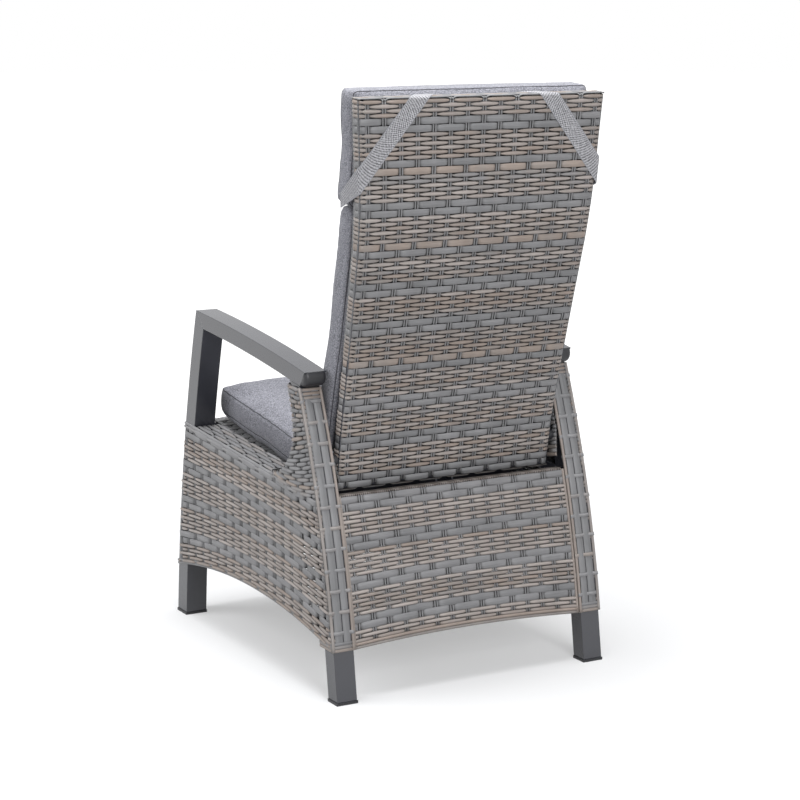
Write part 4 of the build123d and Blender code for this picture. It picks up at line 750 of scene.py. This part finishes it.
# Seat deck: wide flat strands over and under stakes, slung between the front and the rear cross tube.
# It slopes down to the rear, and carries the seat cushion.
weave = new_weave()
deck_lean, deck_length, deck_half, deck_gaps = math.radians(8), 0.468, 0.2392, 13
slope = math.tan(deck_lean)
deck_front = front_edge(deck_top) + 0.0043
deck_rear = deck_front + deck_length * math.cos(deck_lean)
for row, (place, kind, pitch) in enumerate(rows_of("g" * 33, deck_rear - deck_front - 0.004)):
    y = deck_front + 0.002 + place
    line = placed(np.linspace(-deck_half, deck_half, 40), y, deck_top - slope * (y - deck_front) - skin)
    stakes = [(deck_half + (deck_half - 0.012) * (2 * k / deck_gaps - 1), k) for k in range(deck_gaps + 1)]
    lay_row(weave, line, (0, slope, 1), stakes, row, "g", pitch)
for k in range(deck_gaps + 1):
    x = (deck_half - 0.012) * (2 * k / deck_gaps - 1)
    ys = np.linspace(deck_front + 0.003, deck_rear - 0.003, 20)
    lay_stakes(weave, placed(x, ys, deck_top - slope * (ys - deck_front) - skin), (0, slope, 1))
made_piece(weave, "seat_deck_woven", "frame", resin, "seat_deck")

# Cushions: foam in a boxed cover of grey melange cloth, sewn along two seams round its sides.
# The cover swells between its seams, and is flat only where it rests. The yarns' crossings are drawn 2.3 mm
# wide, coarser than real ones, so that they show.
cloth, tree, place = new_material("melange_polyester_canvas")
yarn = node(
    tree, "ShaderNodeTexVoronoi", [("Vector", place)], [("Scale", 430.0), ("Randomness", 0.8)], feature="F1"
)
melange = node(tree, "ShaderNodeSeparateColor", [("Color", yarn.outputs["Color"])])
crown = node(tree, "ShaderNodeMath", [(0, yarn)], [(1, -0.9), (2, 0.75)], operation="MULTIPLY_ADD")
level = node(tree, "ShaderNodeMath", [(0, melange), (2, crown)], [(1, 0.4)], operation="MULTIPLY_ADD")
melange_greys = ((0.15, "6a6a70"), (0.55, "8f8f96"), (0.95, "b0b0b8"))
ramp = node(tree, "ShaderNodeValToRGB", [("Fac", level)], stops=melange_greys)
bump = node(tree, "ShaderNodeBump", [("Height", level)], [("Strength", 0.6), ("Distance", 0.0006)])
surface(
    tree,
    [("Base Color", ramp), ("Normal", bump)],
    [("Roughness", 0.85), ("Sheen Weight", 0.2), ("Specular IOR Level", 0.2)],
)
thread, tree, place = new_material("bonded_polyester_thread")
twist = noise(tree, place, 600.0)
ramp = node(tree, "ShaderNodeValToRGB", [("Fac", twist)], stops=((0, "2c2c30"), (1, "505056")))
surface(tree, [("Base Color", ramp)], [("Roughness", 0.7)])


def vectors_of(piece, key):
    """A vector of each of the piece's points as an array, its place under co or its normal."""
    flat = np.empty(len(piece.data.vertices) * 3)
    piece.data.vertices.foreach_get(key, flat)
    return flat.reshape(-1, 3)


def cushion(name, body, face, room, reach=0.0):
    """Swells a remeshed copy of the cushion as cloth, and holds each point to its room along the face's axes.

    Its front end stands forward by the reach, and its rear end stays where it is.
    """
    shrink = 0.003
    cover = add_object(f"{name}_cover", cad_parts[name].data.copy())
    shell = cover.modifiers.new("shell", "REMESH")
    shell.mode, shell.voxel_size = "VOXEL", 0.0055
    bpy.ops.object.modifier_apply(modifier="shell")
    start = vectors_of(cover, "co")
    smaller = start - shrink * vectors_of(cover, "normal")
    cover.data.vertices.foreach_set("co", smaller.ravel())
    swell = cover.modifiers.new("swell", "CLOTH").settings
    swell.use_pressure = True
    swell.uniform_pressure_force = 4
    swell.effector_weights.gravity = 0
    for step in range(1, 21):
        bpy.context.scene.frame_set(step)
    bpy.ops.object.modifier_apply(modifier="swell")
    bpy.context.scene.frame_set(1)
    moved = vectors_of(cover, "co") - start
    for way, low, high in zip(face, *room):
        far = moved @ way
        limit = np.where(far < 0, low, high)
        moved += np.outer(limit * np.tanh(far / limit) - far, way)
    places = start + moved
    depths = places @ face[1]
    places -= np.outer(reach * (depths.max() - depths) / np.ptp(depths), face[1])
    cover.data.vertices.foreach_set("co", places.ravel())
    finer = cover.modifiers.new("finer", "SUBSURF")
    finer.levels = finer.render_levels = 1
    bpy.ops.object.modifier_apply(modifier="finer")
    cover.data.materials.clear()
    cover.data.materials.append(cloth)
    cover.data.shade_smooth()
    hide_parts(name)
    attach(cover, body)
    return cover


def sew(cover, name, body, loops):
    """Draws the cover in along its seams and lays a dark thread in each."""
    pull, pull_reach, radius = 0.0016, 0.007, 0.0009
    places = vectors_of(cover, "co")
    seams = new_weave()
    tree_of_points = kdtree.KDTree(sum(len(loop) for loop in loops))
    laid, count = [], 0
    for loop in loops:
        hits = [cover.closest_point_on_mesh(Vector(point)) for point in loop]
        laid.append([(tuple(hit[1]), tuple(hit[2])) for hit in hits])
        for spot, facing in laid[-1]:
            tree_of_points.insert(spot, count)
            count += 1
    tree_of_points.balance()
    near = np.array([tree_of_points.find(place)[2] for place in places])
    draw = pull * np.clip(1 - near / pull_reach, 0, 1) ** 2
    drawn = places - draw[:, None] * vectors_of(cover, "normal")
    cover.data.vertices.foreach_set("co", drawn.ravel())
    for spots in laid:
        line = np.array([np.array(spot) - radius * np.array(facing) for spot, facing in spots])
        out = np.array([facing for spot, facing in spots])
        lay(seams, line, out, radius, radius, "round", 0.1, closed=True)
    made_piece(seams, name, body, thread)


def seam_loop(half, start, end, spot_at):
    """Rounded rectangle of points, half wide, between two places along a cushion."""
    bend = 0.012
    line = []
    for x, place, turn in ((half, end, 0), (-half, end, 90), (-half, start, 180), (half, start, 270)):
        for k in range(5):
            angle = math.radians(turn + 22.5 * k)
            across = x - math.copysign(bend, x) + bend * math.cos(angle)
            line.append((across, place + (bend if place == start else -bend) + bend * math.sin(angle)))
    line = np.array(line + line[:1])
    lengths = along(line)
    steps = np.linspace(0, lengths[-1], int(lengths[-1] / 0.004))[:-1]
    xs, places = (np.interp(steps, lengths, line[:, k]) for k in (0, 1))
    return [(middle_x + x, *spot_at(place)) for x, place in zip(xs, places)]


down, rise = math.cos(deck_lean), math.sin(deck_lean)
seat_face = np.array([(1, 0, 0), (0, down, -rise), (0, rise, down)])
seat_room = ((0.003, 0.006, 0.0005), (0.003, 0.002, 0.013))
seat_cover = cushion("seat_cushion", "frame", seat_face, seat_room, 0.010)


def on_seat(height):
    """Gives the depth and height of a place along the seat cushion, that height above the deck."""
    return lambda place: (
        deck_front + shift_y + place * math.cos(deck_lean) + height * math.sin(deck_lean),
        deck_top - place * math.sin(deck_lean) + height * math.cos(deck_lean),
    )


def on_back(depth):
    """Gives the depth and height of a place up the backrest, that far in front of its rear face."""
    return lambda place: back_spot(place, back_depth + depth)[:2]


seat_loops = [seam_loop(0.238, 0.013, 0.483, on_seat(height)) for height in (0.021, 0.073)]
sew(seat_cover, "seat_cushion_seams", "frame", seat_loops)
for name, half, start, end, degrees, room in (
    ("back_cushion", 0.241, 0.062, 0.552, 12, ((0.003, 0.0005, 0.002), (0.003, 0.005, 0.002))),
    ("head_cushion", 0.257, 0.554, 0.773, 4.1, ((0.0006, 0.0005, 0.002), (0.0006, 0.005, 0.003))),
):
    lean = math.radians(degrees)
    face = np.array([(1, 0, 0), (0, -math.cos(lean), math.sin(lean)), (0, math.sin(lean), math.cos(lean))])
    cover = cushion(name, "backrest", face, room)
    sew(cover, f"{name}_seams", "backrest", [seam_loop(half, start, end, on_back(d)) for d in (0.010, 0.059)])

# Straps: flat polyester webbing sewn to the head cushion, over the top edge and round the backrest's sides.
# The webbing is speckled, with paler edges. Its weave repeats every 5 mm, coarser than a real one, to show.
webbing, tree, place = new_material("woven_polyester_webbing")
rib, run = (node(tree, "ShaderNodeAttribute", attribute_name=name).outputs["Fac"] for name in ("rib", "run"))
grid = []
for source, turns in ((rib, 20.0), (run, 1257.0)):
    scaled = node(tree, "ShaderNodeMath", [(0, source)], [(1, turns)], operation="MULTIPLY")
    grid.append(node(tree, "ShaderNodeMath", [(0, scaled)], operation="SINE"))
weft = node(tree, "ShaderNodeMath", [(0, grid[0]), (1, grid[1])], operation="MULTIPLY")
fleck = noise(tree, place, 420.0)
level = node(tree, "ShaderNodeMath", [(0, weft), (2, fleck)], [(1, 0.4)], operation="MULTIPLY_ADD")
ramp = node(tree, "ShaderNodeValToRGB", [("Fac", level)], stops=((0.15, "4c4c4f"), (0.8, "d0cfd2")))
aside = node(tree, "ShaderNodeMath", [(0, rib)], operation="ABSOLUTE")
rim = node(tree, "ShaderNodeMapRange", [("Value", aside)], [("From Min", 0.86), ("From Max", 0.93)])
tinted = node(tree, "ShaderNodeMix", [(0, rim), (6, ramp)], [(7, colour("a4a4a8"))], data_type="RGBA")
bump = node(tree, "ShaderNodeBump", [("Height", weft)], [("Strength", 0.5), ("Distance", 0.0004)])
surface(
    tree,
    [("Base Color", tinted.outputs[2]), ("Normal", bump)],
    [("Roughness", 0.85), ("Specular IOR Level", 0.2)],
)

strap_inner, strap_outer, strap_gap = 0.1185, 0.1615, 0.0011
strap_low, strap_high = back_length - 0.1726, back_length - 0.1210
strap_tip_x, strap_tip_half = 0.2592, 0.0145
for side, sign in (("left", 1), ("right", -1)):
    edges = []
    for aside, depth, up in (
        (-0.0289, 0.0347, back_length + strap_gap),
        (-0.002, 0.0015, back_length + strap_gap),
        (0.001, -strap_gap, back_length - 0.002),
    ):
        spot = back_spot(up, depth)[:2]
        edges.append([(strap_inner + aside, *spot), (strap_outer + aside, *spot)])
    low, high = (back_spot(up, -strap_gap)[:2] for up in (strap_low, strap_high))
    low_x, high_x = back_half(low[1]) + strap_gap, back_half(high[1]) + strap_gap
    edges.append([(low_x - 0.003, *low), (high_x - 0.003, *high)])
    edges.append([(low_x, low[0] - 0.003, low[1] - 0.002), (high_x, high[0] - 0.003, high[1] - 0.002)])
    tip = ((low[0] + high[0]) / 2 - 0.073, (low[1] + high[1]) / 2 - 0.041)
    edges.append([(strap_tip_x, tip[0], tip[1] + rise) for rise in (-strap_tip_half, strap_tip_half)])
    edges = np.array(edges)
    middles = along(edges.mean(axis=1))
    steps = np.unique(np.concatenate([np.linspace(0, middles[-1], 90), middles]))
    shares = np.array([-1, -0.9, -0.5, 0, 0.5, 0.9, 1])
    rails = [np.stack([np.interp(steps, middles, edges[:, n, k]) for k in range(3)], axis=1) for n in (0, 1)]
    inward, outward = 1 - shares[None, :, None], 1 + shares[None, :, None]
    verts = rails[0][:, None] * inward / 2 + rails[1][:, None] * outward / 2
    verts = verts * (sign, 1, 1) + (middle_x, 0, 0)
    wide = len(shares)
    faces = [
        [n * wide + k, n * wide + k + 1, (n + 1) * wide + k + 1, (n + 1) * wide + k][::-sign]
        for n in range(len(steps) - 1)
        for k in range(wide - 1)
    ]
    mesh = bpy.data.meshes.new(f"strap_{side}_webbing")
    mesh.from_pydata(verts.reshape(-1, 3).tolist(), [], faces)
    for key, values in (("rib", np.tile(shares, len(steps))), ("run", np.repeat(steps, wide))):
        layer = mesh.attributes.new(key, "FLOAT", "POINT")
        layer.data.foreach_set("value", values.astype(np.float32))
    mesh.materials.append(webbing)
    strap = add_object(f"strap_{side}_webbing", mesh)
    soften = strap.modifiers.new("soften", "SMOOTH")
    soften.factor, soften.iterations = 0.5, 2
    bpy.ops.object.modifier_apply(modifier="soften")
    thickness = strap.modifiers.new("thickness", "SOLIDIFY")
    thickness.thickness, thickness.offset = 0.0012, 1.0
    bpy.ops.object.modifier_apply(modifier="thickness")
    bpy.ops.object.shade_smooth_by_angle(angle=math.radians(50))
    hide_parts(f"strap_{side}")
    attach(strap, "backrest")

# Caps, bushes and the lever's grip: moulded black polypropylene with a fine spark-eroded grain.
# The grain breaks up its soft gloss, and every edge is rounded by the mould.
material, tree, place = new_material("moulded_polypropylene")
grain = noise(tree, place, 700.0)
ramp = node(tree, "ShaderNodeValToRGB", [("Fac", grain)], stops=((0, "1e1e21"), (1, "2c2c30")))
edge = node(tree, "ShaderNodeBevel", (), [("Radius", 0.0012)], samples=6)
bump = node(
    tree, "ShaderNodeBump", [("Height", grain), ("Normal", edge)], [("Strength", 0.2), ("Distance", 0.0003)]
)
surface(tree, [("Base Color", ramp), ("Normal", bump)], [("Roughness", 0.42)])
dress(material, ("foot_caps", "armrest_end_caps", "lever_bush", "hinge_bushes", "lever_grip"))

# Gas spring under the seat: a black-painted steel cylinder with its head and gland.
# The paint is smooth, thin and half glossy.
material, tree, place = new_material("satin_black_paint")
grain = noise(tree, place, 300.0)
ramp = node(tree, "ShaderNodeValToRGB", [("Fac", grain)], stops=((0, "151517"), (1, "222225")))
edge = node(tree, "ShaderNodeBevel", (), [("Radius", 0.0008)], samples=6)
surface(tree, [("Base Color", ramp), ("Normal", edge)], [("Roughness", 0.35)])
dress(material, ("spring_cylinder", "cylinder_gland", "release_head"))

# Rod, pins, bolts, release shaft, finger and lever: turned steel, bright zinc plated.
# Faint turning marks run round it and spread its gloss.
material, tree, place = new_material("zinc_plated_steel")
stretched = node(tree, "ShaderNodeMapping", [("Vector", place)], [("Scale", (1500.0, 150.0, 150.0))])
marks = noise(tree, stretched, 1.0)
ramp = node(tree, "ShaderNodeValToRGB", [("Fac", marks)], stops=((0, "a2a5aa"), (1, "c6c9cc")))
rough = node(tree, "ShaderNodeMapRange", [("Value", marks)], [("To Min", 0.24), ("To Max", 0.42)])
edge = node(tree, "ShaderNodeBevel", (), [("Radius", 0.0008)], samples=6)
surface(tree, [("Base Color", ramp), ("Normal", edge), ("Roughness", rough)], [("Metallic", 1.0)])
spring_steel = ("spring_rod", "spring_end_eye", "crank_pin", "anchor_screws", "hinge_bolts")
dress(material, spring_steel + ("release_plunger", "release_shaft", "release_finger", "release_lever"))
